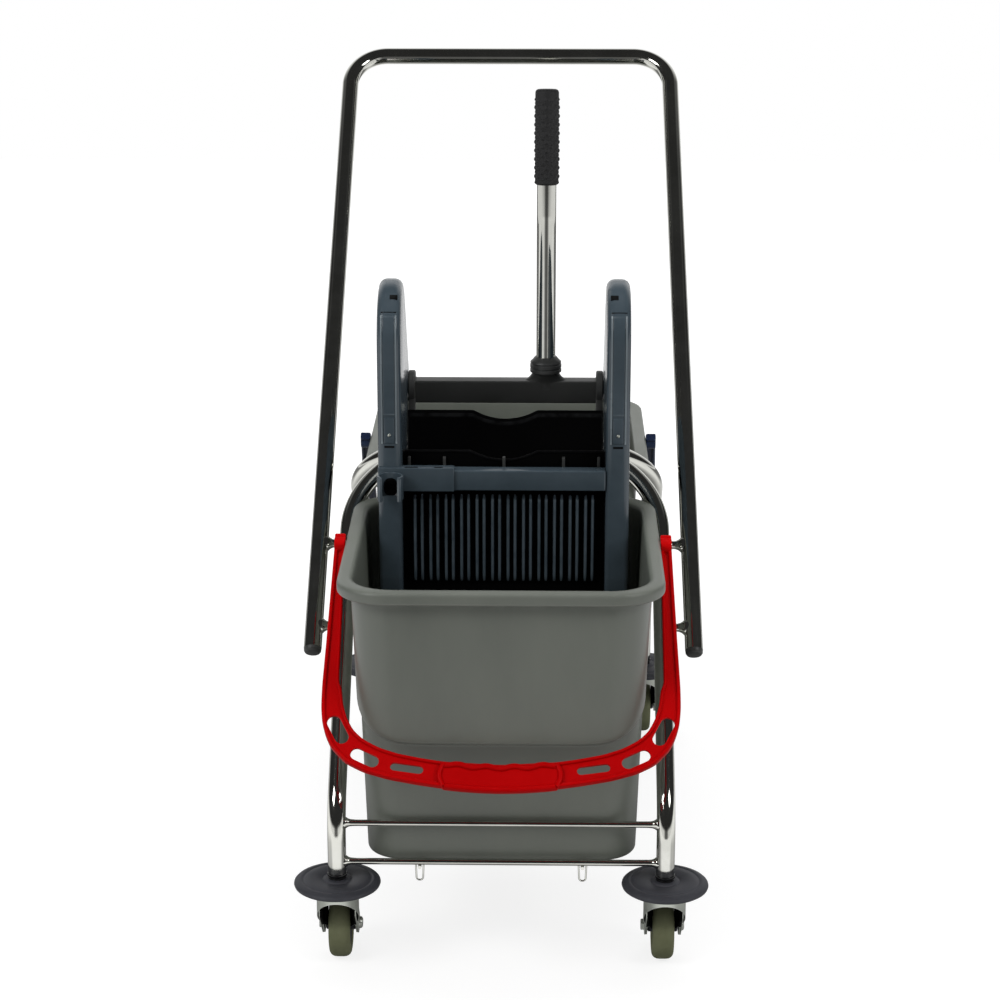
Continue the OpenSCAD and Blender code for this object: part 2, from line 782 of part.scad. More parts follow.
module panel_screws() {
    color(CHROME)
        for (side = [-1, 1])
            translate([side * (panel_x + panel_t / 2), -panel_front, screw_z]) rotate([-90, 0, 0]) {
                cylinder(r = screw_r, h = screw_l - cut);
                translate([0, 0, -screw_head_t]) cylinder(r = 2 * screw_r, h = screw_head_t);
            }
}

beam_deep = 18;
bracket_w = 84;
bracket_t = 4;
bracket_up = 4;

module wringer_beam() {
    color(SLATE) {
        translate([-panel_x, -panel_front, beam_z]) cube([inner_w, beam_deep, beam_h]);
        translate([-panel_x - panel_t, -panel_front - bracket_t, beam_z])
            cube([bracket_w, bracket_t, beam_h + bracket_up]);
    }
}

grille_t = 4;
grille_lift = 10;
rib_lift = 97;
// Half the width of a rib at its foot and at its face, as a share of the pitch
rib_foot = 0.26;
rib_face = 0.21;

module wringer_grille() {
    low = panel_low_z + grille_lift;
    color(SLATE) {
        translate([-panel_x, plate_y - grille_t, low]) cube([inner_w, grille_t, beam_z - low]);
        for (k = [0 : rib_count - 1])
            translate([(k - (rib_count - 1) / 2) * rib_pitch, plate_y - grille_t, low + rib_lift])
                linear_extrude(beam_z - low - rib_lift)
                    polygon([[-rib_pitch * rib_foot, 0], [-rib_pitch * rib_face, -rib_depth],
                             [rib_pitch * rib_face, -rib_depth], [rib_pitch * rib_foot, 0]]);
    }
}

scoop_r = (scoop_w * scoop_w / 4 + scoop_h * scoop_h) / (2 * scoop_h);

// A plate's outline, with the scoop in its top edge.
module plate_2d(w, low, high) {
    difference() {
        translate([-w / 2, low]) square([w, high - low]);
        translate([0, high + scoop_r - scoop_h]) circle(r = scoop_r);
    }
}

peg_w = 3;
peg_deep = 5;
peg_h = 20;
peg_drop = 17;
peg_pitch = 67.5;

module front_plate() {
    color(BLACK) {
        translate([0, plate_y + plate_t, 0]) rotate([90, 0, 0])
            linear_extrude(plate_t) plate_2d(inner_w, panel_low_z + grille_lift, front_plate_z);
        for (k = [-1 : 1])
            translate([k * peg_pitch - peg_w / 2, plate_y - peg_deep, front_plate_z - peg_drop - peg_h])
                cube([peg_w, peg_deep, peg_h]);
    }
}

clip_wall = 3;
clip_h = 27;
clip_drop = 4;
clip_foot = 12;
clip_mouth = 50;

module mop_clip() {
    outer_r = clip_r + clip_wall;
    reach = 2 * outer_r;
    color(SLATE)
        translate([outer_r - panel_x - panel_t, -panel_front - bracket_t - outer_r, beam_z - clip_drop])
            linear_extrude(clip_h)
                difference() {
                    union() {
                        circle(r = outer_r);
                        translate([-clip_foot / 2, 0]) square([clip_foot, outer_r]);
                    }
                    circle(r = clip_r);
                    polygon([[0, 0], [-reach * sin(clip_mouth), -reach * cos(clip_mouth)],
                             [reach * sin(clip_mouth), -reach * cos(clip_mouth)]]);
                }
}

press_w = inner_w - 2 * move_gap;
press_low = [-press_y, press_z];
press_down = 8;
press_turn = [-80, rim_z - press_down];
barrel_t = 3;

// The press plate seen from the side: up from its hinge barrel, and bent back at the turn.
module press_2d() {
    d1 = unit(press_turn - press_low);
    d2 = unit(press_top - press_turn);
    n1 = [-d1[1], d1[0]] * plate_t / 2;
    n2 = [-d2[1], d2[0]] * plate_t / 2;
    mitre = (n1 + n2) / (1 + d1 * d2);
    polygon([press_low + n1, press_turn + mitre, press_top + n2,
             press_top - n2, press_turn - mitre, press_low - n1]);
    translate(press_low) circle(r = press_pin_r + barrel_t);
}

module press_plate() {
    d = press_top - press_turn;
    color(BLACK)
        difference() {
            rotate([90, 0, 90]) linear_extrude(press_w, center = true) press_2d();
            translate([0, press_top[0], press_top[1]]) rotate([atan2(d[1], d[0]), 0, 0])
                translate([0, scoop_r - scoop_h, 0])
                    cylinder(r = scoop_r, h = 4 * plate_t, center = true);
            translate([0, press_low[0], press_low[1]]) rotate([0, 90, 0])
                cylinder(r = press_pin_r + run_fit, h = inner_w + 2 * cut, center = true);
        }
}

pin_out = 10;

module press_pins() {
    length = 2 * pin_deep + pin_out;
    color(CHROME)
        for (side = [-1, 1])
            translate([side * (panel_x + pin_deep - length / 2), -press_y, press_z])
                rotate([0, 90, 0]) cylinder(r = press_pin_r, h = length, center = true);
}

// Lever

shaft_w = inner_w - 2 * move_gap;
flange_r = 19;
flange_t = 8;
cam_tip = [-22, -48];
cam_r = 7;
cam_w = 8;
cam_x = 107.7;
socket_wall = 4;
socket_h = 18;
socket_floor = 2;
socket_r = lever_d / 2 + socket_wall;
socket_top_z = lever_z + socket_h;
collar_over = 3;
collar_body_h = 12;
collar_cone_h = 6;
shaft_bar = 22;
shaft_bar_h = 26;
shaft_drop = 4;
lever_bend_z = 770;
lever_lean = 5;
lever_bend_r = 120;

module lever_shaft() {
    color(BLACK)
        difference() {
            translate([0, -lever_y, lever_z]) {
                translate([0, 0, -shaft_drop])
                    cube([shaft_w, shaft_bar, shaft_bar_h], center = true);
                rotate([0, 90, 0]) {
                    cylinder(r = journal_r, h = inner_w + 2 * journal_deep - 2 * cut, center = true);
                    for (s = [-1, 1])
                        translate([0, 0, s * (shaft_w / 2 - flange_t / 2)])
                            cylinder(r = flange_r, h = flange_t, center = true);
                }
                for (s = [-1, 1])
                    translate([s * cam_x, 0, 0]) rotate([90, 0, 90])
                        linear_extrude(cam_w, center = true) cam_2d();
                translate([lever_x, 0, 0]) cylinder(r = socket_r, h = socket_h);
            }
            translate([lever_x, -lever_y, lever_z + socket_floor])
                cylinder(d = lever_d + 2 * run_fit, h = socket_top_z);
        }
}

// A cam finger: a tapering arm from the shaft to a round tip.
module cam_2d() {
    d = unit(cam_tip);
    n = [-d[1], d[0]] * cam_r;
    translate(cam_tip) circle(r = cam_r);
    polygon([cam_tip + n, n * cam_taper, -n * cam_taper, cam_tip - n]);
}

cam_taper = 0.86;

module lever_collar() {
    wide = socket_r + collar_over;
    color(BLACK)
        translate([lever_x, -lever_y, socket_top_z])
            difference() {
                union() {
                    cylinder(r = wide, h = collar_body_h);
                    translate([0, 0, collar_body_h])
                        cylinder(r1 = wide, r2 = socket_r - collar_over, h = collar_cone_h);
                }
                translate([0, 0, -cut])
                    cylinder(d = lever_d + 2 * run_fit, h = collar_body_h + collar_cone_h + 2 * cut);
            }
}

grip_cap = 4;
lever_foot = [0, lever_z + socket_floor];
lever_knee = [0, lever_bend_z];
lever_end_l = lever_top_z - lever_bend_z - grip_cap;
lever_end = lever_knee + lever_end_l * [sin(lever_lean), cos(lever_lean)];

module lever_tube() {
    color(CHROME)
        translate([lever_x, -lever_y, 0]) rotate([90, 0, 90])
            bent_tube([for (p = [lever_foot, lever_knee, lever_end]) [p[0], p[1], 0]],
                      [lever_bend_r], [0, 0, 1], lever_d);
}

grip_bumps = 11;
grip_groove = 1.2;
grip_edge = 3;

module lever_grip() {
    step = grip_l / grip_bumps;
    r = grip_d / 2;
    bore = lever_d / 2 + run_fit;
    color(BLACK)
        translate([lever_x, -lever_y + lever_end[0], lever_end[1]]) rotate([-lever_lean, 0, 0])
            rotate_extrude()
                polygon(concat(
                    [[0, grip_cap], [r - grip_edge, grip_cap], [r, grip_cap - grip_edge]],
                    [for (k = [0 : grip_bumps - 1]) each
                        [[r, -k * step], [r, -(k + 0.6) * step], [r - grip_groove, -(k + 0.7) * step],
                         [r - grip_groove, -(k + 0.9) * step]]],
                    [[bore, -grip_l + 0.1 * step], [bore, 0], [0, 0]]));
}

arch();  // front_arch
turned() arch();  // rear_arch
rods();  // front_rods
turned() rods();  // rear_rods
bucket_wires();
push_handle();
handle_studs();
handle_plugs();
leg_collars();
for (c = CORNERS) {
    bumper(c);
    caster_stem(c);
    caster_fork(c);
    caster_axle(c);
    wheel(c);
}
bucket();  // front_bucket
turned() bucket();  // rear_bucket
bail(RED);  // front_bail
turned() bail(BLUE);  // rear_bail
wringer_panel(-1);  // wringer_panel_left
wringer_panel(1);  // wringer_panel_right
panel_strips();
panel_screws();
wringer_beam();
wringer_grille();
front_plate();
mop_clip();
press_plate();
press_pins();
lever_shaft();
lever_collar();
lever_tube();
lever_grip();
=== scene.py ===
# %% [markdown]
# # A double mop bucket trolley
# Two buckets ride one behind the other on a frame of bent chromed tube. A wringer with a lever stands
# over the front bucket, and a long push handle leans back over both.
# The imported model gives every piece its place, and the moulded and bent forms below are laid over it.

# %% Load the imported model
import math

import bmesh
import bpy
import numpy as np
from mathutils import Matrix


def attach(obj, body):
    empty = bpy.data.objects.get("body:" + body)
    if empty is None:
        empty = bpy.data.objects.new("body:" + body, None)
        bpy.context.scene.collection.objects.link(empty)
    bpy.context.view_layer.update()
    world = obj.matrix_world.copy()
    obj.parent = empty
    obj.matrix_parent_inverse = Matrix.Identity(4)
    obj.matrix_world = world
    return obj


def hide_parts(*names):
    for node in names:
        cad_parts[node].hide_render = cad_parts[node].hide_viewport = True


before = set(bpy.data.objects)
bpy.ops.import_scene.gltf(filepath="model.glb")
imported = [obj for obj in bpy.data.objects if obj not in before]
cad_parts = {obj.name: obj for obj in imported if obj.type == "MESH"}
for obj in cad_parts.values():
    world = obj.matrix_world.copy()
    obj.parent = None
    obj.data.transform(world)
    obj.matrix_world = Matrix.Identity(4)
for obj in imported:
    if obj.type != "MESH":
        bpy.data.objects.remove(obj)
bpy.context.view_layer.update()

# %% [markdown]
# ## Surfaces as arrays of points
# Every piece of the trolley is bent, turned or moulded. A bent tube is a circle carried along a line,
# a turned disc is a profile spun about an axis, and a moulded plate is an outline made thick with
# rounded rims. All three could be modelled by hand. As grids of points they are worked out whole, in
# millimetres, and a size can still be changed later in one place.

# %% Grids and rings
def unit(v):
    """Vectors along the last axis, divided by their lengths."""
    return v / np.linalg.norm(v, axis=-1, keepdims=True)


def grid_faces(rows, cols, rows_join=False, cols_join=True):
    """The four-cornered faces of a grid, point (i, j) having the number i cols + j."""
    steps = np.arange(rows - (not rows_join)), np.arange(cols - (not cols_join))
    i, j = (part.ravel() for part in np.meshgrid(*steps, indexing="ij"))
    above, beside = (i + 1) % rows, (j + 1) % cols
    return np.stack([i * cols + j, i * cols + beside, above * cols + beside, above * cols + j], 1).tolist()


def skin(points, rows_join=False, caps=True):
    """A grid of rings as points and faces, with its first and last rings filled."""
    rows, cols = points.shape[:2]
    faces = grid_faces(rows, cols, rows_join)
    if caps and not rows_join:
        faces += [list(range(cols)), list(range((rows - 1) * cols, rows * cols))]
    return points.reshape(-1, 3), faces


def circle(sides):
    """Points (cos t, sin t) round a unit circle."""
    t = np.linspace(0, 2 * np.pi, sides, endpoint=False)
    return np.stack([np.cos(t), np.sin(t)], 1)


print(len(grid_faces(3, 4)), "faces between three rings of four points")

# %% Lines, and rings carried along them
def carried(path, profile):
    """A ring (u, v) carried along a path: P + u S + v (T x S), where S = T x N.
    N is the direction that the path's own directions T lie furthest from."""
    ahead = unit(np.gradient(path, axis=0))
    far = np.linalg.eigh(ahead.T @ ahead)[1][:, 0]
    side = unit(np.cross(ahead, far))
    over = np.cross(ahead, side)
    profile = np.broadcast_to(profile, (len(path),) + profile.shape[-2:])
    return skin(path[:, None] + profile[..., :1] * side[:, None] + profile[..., 1:] * over[:, None])


def tube(path, radius, sides):
    """A round bar along a path, its radius one number or one for each point."""
    return carried(path, np.broadcast_to(radius, len(path))[:, None, None] * circle(sides))


def bent(corners, radii, steps):
    """A line through corners with its inner ones rounded. With half the corner's angle h, the arc's
    middle lies r / sin h from the corner and the arc turns through pi - 2 h."""
    corners = np.asarray(corners, float)
    line = [corners[:1]]
    for before, here, after, r in zip(corners, corners[1:], corners[2:], radii):
        back, on = unit(before - here), unit(after - here)
        half = np.arccos(np.clip(back @ on, -1, 1)) / 2
        inward, across = unit(back + on), unit(on - back)
        t = np.linspace(-1, 1, steps)[:, None] * (np.pi / 2 - half)
        line.append(here + inward * r / np.sin(half) - r * (np.cos(t) * inward - np.sin(t) * across))
    return np.concatenate(line + [corners[-1:]])


def lengths(line):
    """How far along a line each of its points is."""
    return np.concatenate([[0], np.cumsum(np.linalg.norm(np.diff(line, axis=0), axis=1))])


print(len(tube(np.eye(3), 0.1, 8)[1]), "faces on a tube of three rings of eight points")

# %% [markdown]
# ## From surfaces to pieces
# A piece joins its surfaces into one mesh, closes their seams and turns all faces outward. How far a
# point's faces bend away from each other is kept as an attribute, because edges are where a finish rubs and
# where it catches the light: the finishes lighten them partly as wear and partly as a painted highlight.
# It could be painted on by hand, but worked out it fits every piece.

# %% Make a piece
MM = 0.001


def added(name, data):
    """An object for a mesh, a lamp or a camera, linked into the scene."""
    made = bpy.data.objects.new(name, data)
    bpy.context.collection.objects.link(made)
    return made


def bend_of_points(mesh):
    """How far the faces round each point bend apart: 1 - |sum of their normals| / their number."""
    corner = np.empty(len(mesh.loops), int)
    mesh.loops.foreach_get("vertex_index", corner)
    sides = np.empty(len(mesh.polygons), int)
    mesh.polygons.foreach_get("loop_total", sides)
    normal = np.empty(len(mesh.polygons) * 3)
    mesh.polygons.foreach_get("normal", normal)
    summed = np.zeros((len(mesh.vertices), 3))
    np.add.at(summed, corner, np.repeat(normal.reshape(-1, 3), sides, 0))
    return 1 - np.linalg.norm(summed, axis=1) / np.maximum(np.bincount(corner, minlength=len(summed)), 1)


def piece(name, parts, finish, body, *nodes, sharp=38):
    """One object from surfaces in millimetres, riding on a body and standing for its solids."""
    starts = np.cumsum([0] + [len(points) for points, _ in parts])
    points = np.concatenate([points for points, _ in parts]) * MM
    faces = [[v + start for v in face] for (_, own), start in zip(parts, starts) for face in own]
    mesh = bpy.data.meshes.new(name)
    mesh.from_pydata(points.tolist(), [], faces)
    work = bmesh.new()
    work.from_mesh(mesh)
    bmesh.ops.remove_doubles(work, verts=work.verts, dist=2e-6)
    bmesh.ops.dissolve_degenerate(work, edges=work.edges, dist=1e-6)
    bmesh.ops.recalc_face_normals(work, faces=work.faces)
    work.to_mesh(mesh)
    work.free()
    edge_wear_and_sheen = bend_of_points(mesh).astype(np.float32)
    mesh.attributes.new("edge_wear_and_sheen", "FLOAT", "POINT").data.foreach_set("value", edge_wear_and_sheen)
    mesh.shade_smooth()
    mesh.set_sharp_from_angle(angle=math.radians(sharp))
    made = added(name, mesh)
    mesh.materials.append(finish)
    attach(made, body)
    if nodes:
        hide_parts(*nodes)
    return made


# %% [markdown]
# ## Finishes
# The frame is bright chrome. The buckets are moulded in grey plastic with a fine matt grain, the
# wringer in slate, and the bails in glossier red and blue. Each finish clouds slowly between two
# colours, has a fine grain as bump, changes in roughness, and is lighter on sharp edges as rubbed wear and
# painted highlight. Pictures could be wrapped on instead, but a finish made of noise needs no unwrapping.

# %% Shader nodes
def node(tree, kind, inputs=None, **settings):
    """Adds a shader node, links sockets into it or sets numbers on it, and gives its outputs."""
    made = tree.nodes.new(f"ShaderNode{kind}")
    for key, value in settings.items():
        setattr(made, key, value)
    for key, value in (inputs or {}).items():
        if isinstance(value, bpy.types.NodeSocket):
            tree.links.new(value, made.inputs[key])
        else:
            made.inputs[key].default_value = value
    return made.outputs


def emptied(owner):
    """The node tree of a material or a world, with nothing in it."""
    owner.use_nodes = True
    owner.node_tree.nodes.clear()
    return owner.node_tree


print(len(bpy.data.materials), "materials before the first finish")

# %% Colours, ranges and noise
def screen(red, green, blue):
    """A colour as seen on a screen, 0 to 255, turned into light."""
    c = np.array([red, green, blue]) / 255
    return (*np.where(c <= 0.04045, c / 12.92, ((c + 0.055) / 1.055) ** 2.4).tolist(), 1.0)


def between(tree, value, low, high, to_low=0.0, to_high=1.0):
    """A value's range low to high stretched onto another."""
    return node(tree, "MapRange", {"Value": value, "From Min": low, "From Max": high,
                                             "To Min": to_low, "To Max": to_high})[0]


def blended(tree, share, first, second):
    """Two colours mixed by a share."""
    return node(tree, "Mix", {0: share, 6: first, 7: second}, data_type="RGBA")[2]


def combined(tree, how, *values):
    """One or two values put through a Math node, such as MULTIPLY or MAXIMUM."""
    return node(tree, "Math", dict(enumerate(values)), operation=how)[0]


def noise(tree, place, scale, detail, rough=0.5):
    """Soft noise about 0.5, with so many lumps to the metre."""
    return node(tree, "TexNoise", {"Vector": place, "Scale": scale, "Detail": detail,
                                             "Roughness": rough})[0]


print("middle grey on a screen is", round(screen(128, 128, 128)[0], 3), "as light")

# %% One finish
WEAR_AND_SHEEN_FROM, WEAR_AND_SHEEN_TO, WEAR_AND_SHEEN_MOST = 0.012, 0.1, 0.6


def surface(name, dark, light, edge, rough, grain, depth, cloud=11.0, draw=(1, 1, 1), metal=0.0, shine=0.5,
            slot=None):
    """A finish clouding from dark to light, grain of a depth in millimetres, edges lighter as wear and
    painted highlight.
    """
    made = bpy.data.materials.new(f"{name}_finish")
    made["slot"] = slot or name
    tree = emptied(made)
    place = node(tree, "TexCoord")["Object"]
    drawn = node(tree, "Mapping", {"Vector": place, "Scale": draw})[0]
    clouds = noise(tree, drawn, cloud, 5.0, 0.62)
    grains = noise(tree, place, grain, 2.0)
    wear_and_sheen_patches = between(tree, noise(tree, place, 70.0, 4.0), 0.3, 0.6)
    edge_wear_and_sheen = node(tree, "Attribute", attribute_name="edge_wear_and_sheen")["Fac"]
    # Edges lighten toward the edge colour: partly rubbed wear, partly a painted highlight where edges catch
    # the light.
    wear_and_sheen_share = combined(tree, "MULTIPLY", between(tree, edge_wear_and_sheen, WEAR_AND_SHEEN_FROM, WEAR_AND_SHEEN_TO, 0.0, WEAR_AND_SHEEN_MOST), wear_and_sheen_patches)
    body = blended(tree, between(tree, clouds, 0.32, 0.68), screen(*dark), screen(*light))
    bump = node(tree, "Bump", {"Height": grains, "Strength": 0.6, "Distance": depth * MM})
    shader = node(tree, "BsdfPrincipled", {
        "Base Color": blended(tree, wear_and_sheen_share, body, screen(*edge)),
        "Roughness": between(tree, clouds, 0.3, 0.7, *rough), "Metallic": metal,
        "Specular IOR Level": shine, "Normal": bump[0]})
    node(tree, "OutputMaterial", {"Surface": shader[0]})
    return made


chrome = surface("chrome", (190, 190, 184), (210, 210, 203), (215, 215, 210), (0.05, 0.12),
                 grain=900, depth=0.004, cloud=16, metal=1.0)
zinc = surface("zinc", (186, 190, 181), (206, 210, 201), (220, 222, 216), (0.28, 0.4),
               grain=1400, depth=0.012, cloud=30, metal=1.0, slot="chrome")
print(chrome.name, "and", zinc.name, "share the slot", zinc["slot"])

# %% Plastics and rubber
bucket_grey = surface("bucket_grey", (97, 101, 94), (107, 111, 103), (126, 131, 123), (0.36, 0.5),
                      grain=1500, depth=0.05, cloud=9, draw=(1, 1, 0.35))
wringer_slate = surface("wringer_slate", (54, 65, 72), (65, 76, 84), (90, 100, 107), (0.17, 0.27),
                        grain=1600, depth=0.02)
# A lighter copy of the slate, kept in the slate's slot, is a painted highlight on the thin raised ribs of the
# panels.
slate_highlight = surface("slate_highlight", (92, 102, 108), (112, 122, 128), (140, 150, 154), (0.2, 0.3),
                     grain=1600, depth=0.03, slot="wringer_slate")
black_plastic = surface("black_plastic", (45, 46, 45), (55, 56, 55), (72, 73, 73), (0.36, 0.5),
                        grain=1600, depth=0.03, shine=0.35)
black_gloss = surface("black_gloss", (14, 14, 15), (20, 20, 21), (40, 40, 41), (0.08, 0.16),
                      grain=1500, depth=0.006, slot="black_plastic")
plate_black = surface("plate_black", (2, 2, 2), (4, 4, 5), (34, 35, 36), (0.55, 0.7),
                      grain=1500, depth=0.03, shine=0.04)
bumper_grey = surface("bumper_grey", (51, 52, 58), (61, 62, 68), (80, 81, 86), (0.5, 0.66),
                      grain=1300, depth=0.06, shine=0.35)
wheel_olive = surface("wheel_olive", (102, 105, 78), (116, 119, 92), (122, 125, 100), (0.6, 0.8),
                      grain=1100, depth=0.08, cloud=40, shine=0.2)
red_plastic = surface("red_plastic", (176, 0, 2), (190, 1, 4), (196, 8, 10), (0.3, 0.42),
                      grain=1800, depth=0.015, shine=0.04)
blue_plastic = surface("blue_plastic", (8, 23, 52), (13, 33, 68), (40, 62, 100), (0.28, 0.4),
                       grain=1800, depth=0.015)
grip_rubber = surface("grip_rubber", (18, 18, 19), (27, 27, 28), (40, 40, 41), (0.55, 0.75),
                      grain=1400, depth=0.08)
print(len(bpy.data.materials), "finishes")

# %% [markdown]
# ## Bent tube frame
# One tube makes each end of the frame: two legs rise from the casters, turn at a knee and slope back
# to a bow between the buckets. The push handle is a second tube that lies outside the front legs in
# the same slope. A curve with a round bevel could draw them. Here each is a line with rounded corners,
# because the same line also gives the plugs their places. Short studs join handle and legs. Welded
# ends flare like a trumpet where the weld runs up.

# %% Arches
TUBE_R, KNEE_R, BOW_R = 10.0, 70.0, 105.0
LEG_X, LEG_Y, FOOT_Z, KNEE_Z = 177.5, 333.0, 116.0, 185.0
BOW_Y, BOW_Z = 10.0, 500.0
HALF_TURN = np.array([-1.0, -1.0, 1.0])


def turned(part):
    """A surface turned half round the vertical, to the trolley's other end."""
    return part[0] * HALF_TURN, part[1]


leg = np.array([[-LEG_X, -LEG_Y, FOOT_Z], [-LEG_X, -LEG_Y, KNEE_Z], [-LEG_X, -BOW_Y, BOW_Z]])
arch_line = bent(np.concatenate([leg, leg[::-1] * (-1, 1, 1)]), (KNEE_R, BOW_R, BOW_R, KNEE_R), 24)
arch = tube(arch_line, TUBE_R, 48)
piece("front_arch_tube", [arch], chrome, "frame", "front_arch")
piece("rear_arch_tube", [turned(arch)], chrome, "frame", "rear_arch")
print("two arches, each of", round(lengths(arch_line)[-1]), "mm of tube")

# %% Push handle and its plugs
SLOPE = math.atan2(BOW_Z - KNEE_Z, LEG_Y - BOW_Y)
LOW_X, LOW_S, TOP_X, TOP_S, TOP_R = 212.0, 197.0, 200.5, 1027.0, 46.0
PLUG = [(0, 6), (6, 6), (8.4, 5.2), (9.6, 3.4), (9.8, 0), (8.6, 0), (8.6, -9), (0, -9)]


def on_slope(points):
    """Points (x, s) of the handle's plane: s runs up the slope from the knees."""
    x, s = np.asarray(points, float).T
    return np.stack([x, s * math.cos(SLOPE) - LEG_Y, s * math.sin(SLOPE) + KNEE_Z], 1)


def lathe(profile, centre, axis=(0, 0, 1), turns=56, ring=False):
    """Rows (r, h) turned about an axis A through C: C + h A + r (cos t S + sin t A x S)."""
    profile, axis = np.asarray(profile, float), unit(np.asarray(axis, float))
    side = unit(np.cross(axis, np.eye(3)[np.argmin(np.abs(axis))]))
    spokes = circle(turns) @ np.stack([side, np.cross(axis, side)])
    r, h = profile[:, 0, None, None], profile[:, 1, None, None]
    return skin(np.asarray(centre, float) + h * axis + r * spokes, ring, caps=False)


handle_corners = on_slope([(-LOW_X, LOW_S), (-TOP_X, TOP_S), (TOP_X, TOP_S), (LOW_X, LOW_S)])
handle_line = bent(handle_corners, (TOP_R, TOP_R), 28)
piece("push_handle_tube", [tube(handle_line, TUBE_R, 48)], chrome, "frame", "push_handle")
down = unit(handle_line[0] - handle_line[1])
plugs = [lathe(PLUG, handle_line[end], down * (s, 1, 1), 40) for end, s in ((0, 1), (-1, -1))]
piece("handle_end_plugs", plugs, black_plastic, "frame", "handle_plugs")
print("a handle of", round(lengths(handle_line)[-1]), "mm of tube")

# %% Welded rods and studs
ROD_R, ROD_SUNK, STUD_R, STUD_SUNK = 3.5, 3.6, 4.0, 5.0
ROD_Z, UPPER_Z, UPPER_Y = 130.0, 174.0, 330.5
STUDS_S = (225, 329)


def welded(start, end, radius, flare, reach, sunk):
    """A bar with trumpet ends: r plus flare exp(-d / reach) for either end, d being how far a point is
    from that end's tube. The stations crowd to both ends as (1 - cos t) / 2."""
    start, end = np.asarray(start, float), np.asarray(end, float)
    share = (1 - np.cos(np.linspace(0, np.pi, 72))) / 2
    clear = np.maximum(np.stack([share, 1 - share], 1) * np.linalg.norm(end - start) - sunk, 0)
    return tube(start + share[:, None] * (end - start), radius + np.exp(-clear / reach) @ flare, 32)


def rod(y, z):
    """A cross rod between two legs, its ends sunk in the tubes."""
    half = LEG_X - TUBE_R + ROD_SUNK
    return welded((-half, y, z), (half, y, z), ROD_R, (3.2, 3.2), (2.4, 2.4), ROD_SUNK)


def stud(side, s):
    """A stud from a leg out to the handle, which narrows evenly up the slope."""
    handle_x = LOW_X - (LOW_X - TOP_X) * (s - LOW_S) / (TOP_S - LOW_S)
    ends = on_slope([(side * (LEG_X + STUD_SUNK), s), (side * (handle_x - STUD_SUNK), s)])
    return welded(*ends, STUD_R, (2.4, 4.6), (1.8, 3.6), STUD_SUNK)


rods = [rod(-LEG_Y, ROD_Z), rod(-UPPER_Y, UPPER_Z)]
piece("front_rods_welded", rods, chrome, "frame", "front_rods")
piece("rear_rods_welded", [turned(r) for r in rods], chrome, "frame", "rear_rods")
studs = [stud(side, s) for side in (-1, 1) for s in STUDS_S]
piece("handle_studs_welded", studs, chrome, "frame", "handle_studs")
print(2 * len(rods), "rods and", len(studs), "studs")

# %% Bucket wires
WIRE_X, WIRE_Y, WIRE_Z, WIRE_R = 88.0, 336.5, 124.5, 2.0
HOOK = bent([(-4.2, 0, 126.5), (-3.4, 0, 108.5), (3.4, 0, 108.5), (4.2, 0, 126.5)], (3.2, 3.2), 10)


def moved(part, *shift):
    """A surface moved by x, y, z."""
    return part[0] + np.array(shift), part[1]


wires = [tube(np.array([[x, -WIRE_Y, WIRE_Z], [x, WIRE_Y, WIRE_Z]]), WIRE_R, 24) for x in (-WIRE_X, WIRE_X)]
wires += [moved(tube(HOOK, WIRE_R / 2, 16), x, y, 0) for x in (-WIRE_X, WIRE_X) for y in (-LEG_Y, LEG_Y)]
piece("bucket_wires_bent", wires, chrome, "frame", "bucket_wires")
print("two wires with hooked ends")

# %% [markdown]
# ## Bumpers and casters
# A grey disc sits on each leg's foot to keep the trolley off the walls. Below it a swivel caster
# hangs from a collar: a hood pressed from zinc-plated sheet, two cheeks, an axle bolt with a round and
# a six-sided end, and a wheel with an olive tread on a grey hub. All are turned forms, except the hood.
# It is a cup cut off aslant, with the wheel's room cut from its back. A Boolean could cut both, but a rim
# worked out as one height for each angle keeps the faces even.
# Inside, the hood and the cheeks lie in shade, so a thin black lining in the hood and on the cheeks is
# painted shade.

# %% Bumpers, collars and stems
FEET = {"fl": (-LEG_X, -LEG_Y, 0), "fr": (LEG_X, -LEG_Y, 0),
        "rl": (-LEG_X, LEG_Y, 0), "rr": (LEG_X, LEG_Y, 0)}
BUMPER = [(5.2, 102.4), (20, 102), (42, 102), (44.8, 102.5), (46.4, 103.6), (47, 105.2), (46.7, 106.6),
          (45.4, 107.9), (43, 109), (40.5, 109.7), (38.6, 109.9), (37.6, 109.3), (36.6, 109.3), (35.6, 110),
          (30, 110.1), (18, 110.2), (16.8, 109.3), (15.6, 109.3), (14.4, 110.4), (12, 110.6), (10.6, 110.9),
          (5.2, 110.9)]
COLLAR = [(0, 110), (8.2, 110), (9.8, 110.6), (9.8, 112.2), (9.1, 112.7), (9.8, 113.3), (10.6, 113.9),
          (10.9, 115), (10.9, 116.6), (10.4, 117.4), (0, 117.4)]
STEM = [(0, 98), (5, 98), (5, 140), (0, 140)]

for key, foot in FEET.items():
    disc, stem = lathe(BUMPER, foot, turns=96, ring=True), lathe(STEM, foot, turns=32)
    piece(f"bumper_disc_{key}", [disc], bumper_grey, "frame", f"bumper_{key}")
    piece(f"swivel_stem_{key}", [stem], chrome, f"caster_{key}", f"caster_stem_{key}")
collars = [lathe(COLLAR, foot, turns=48) for foot in FEET.values()]
piece("foot_collars", collars, black_gloss, "frame", "leg_collars")
print(len(collars), "bumpers, collars and stems")

# %% Plates with rounded rims
SIDE = np.array([[0.0, 1, 0], [0, 0, 1], [1, 0, 0]])


def rounded(corners, radii, steps=6):
    """A closed outline with every corner rounded."""
    corners = np.asarray(corners, float)
    looped = np.concatenate([corners[-1:], corners, corners[:1]])
    return bent(looped, np.broadcast_to(radii, len(corners)), steps)[1:-1]


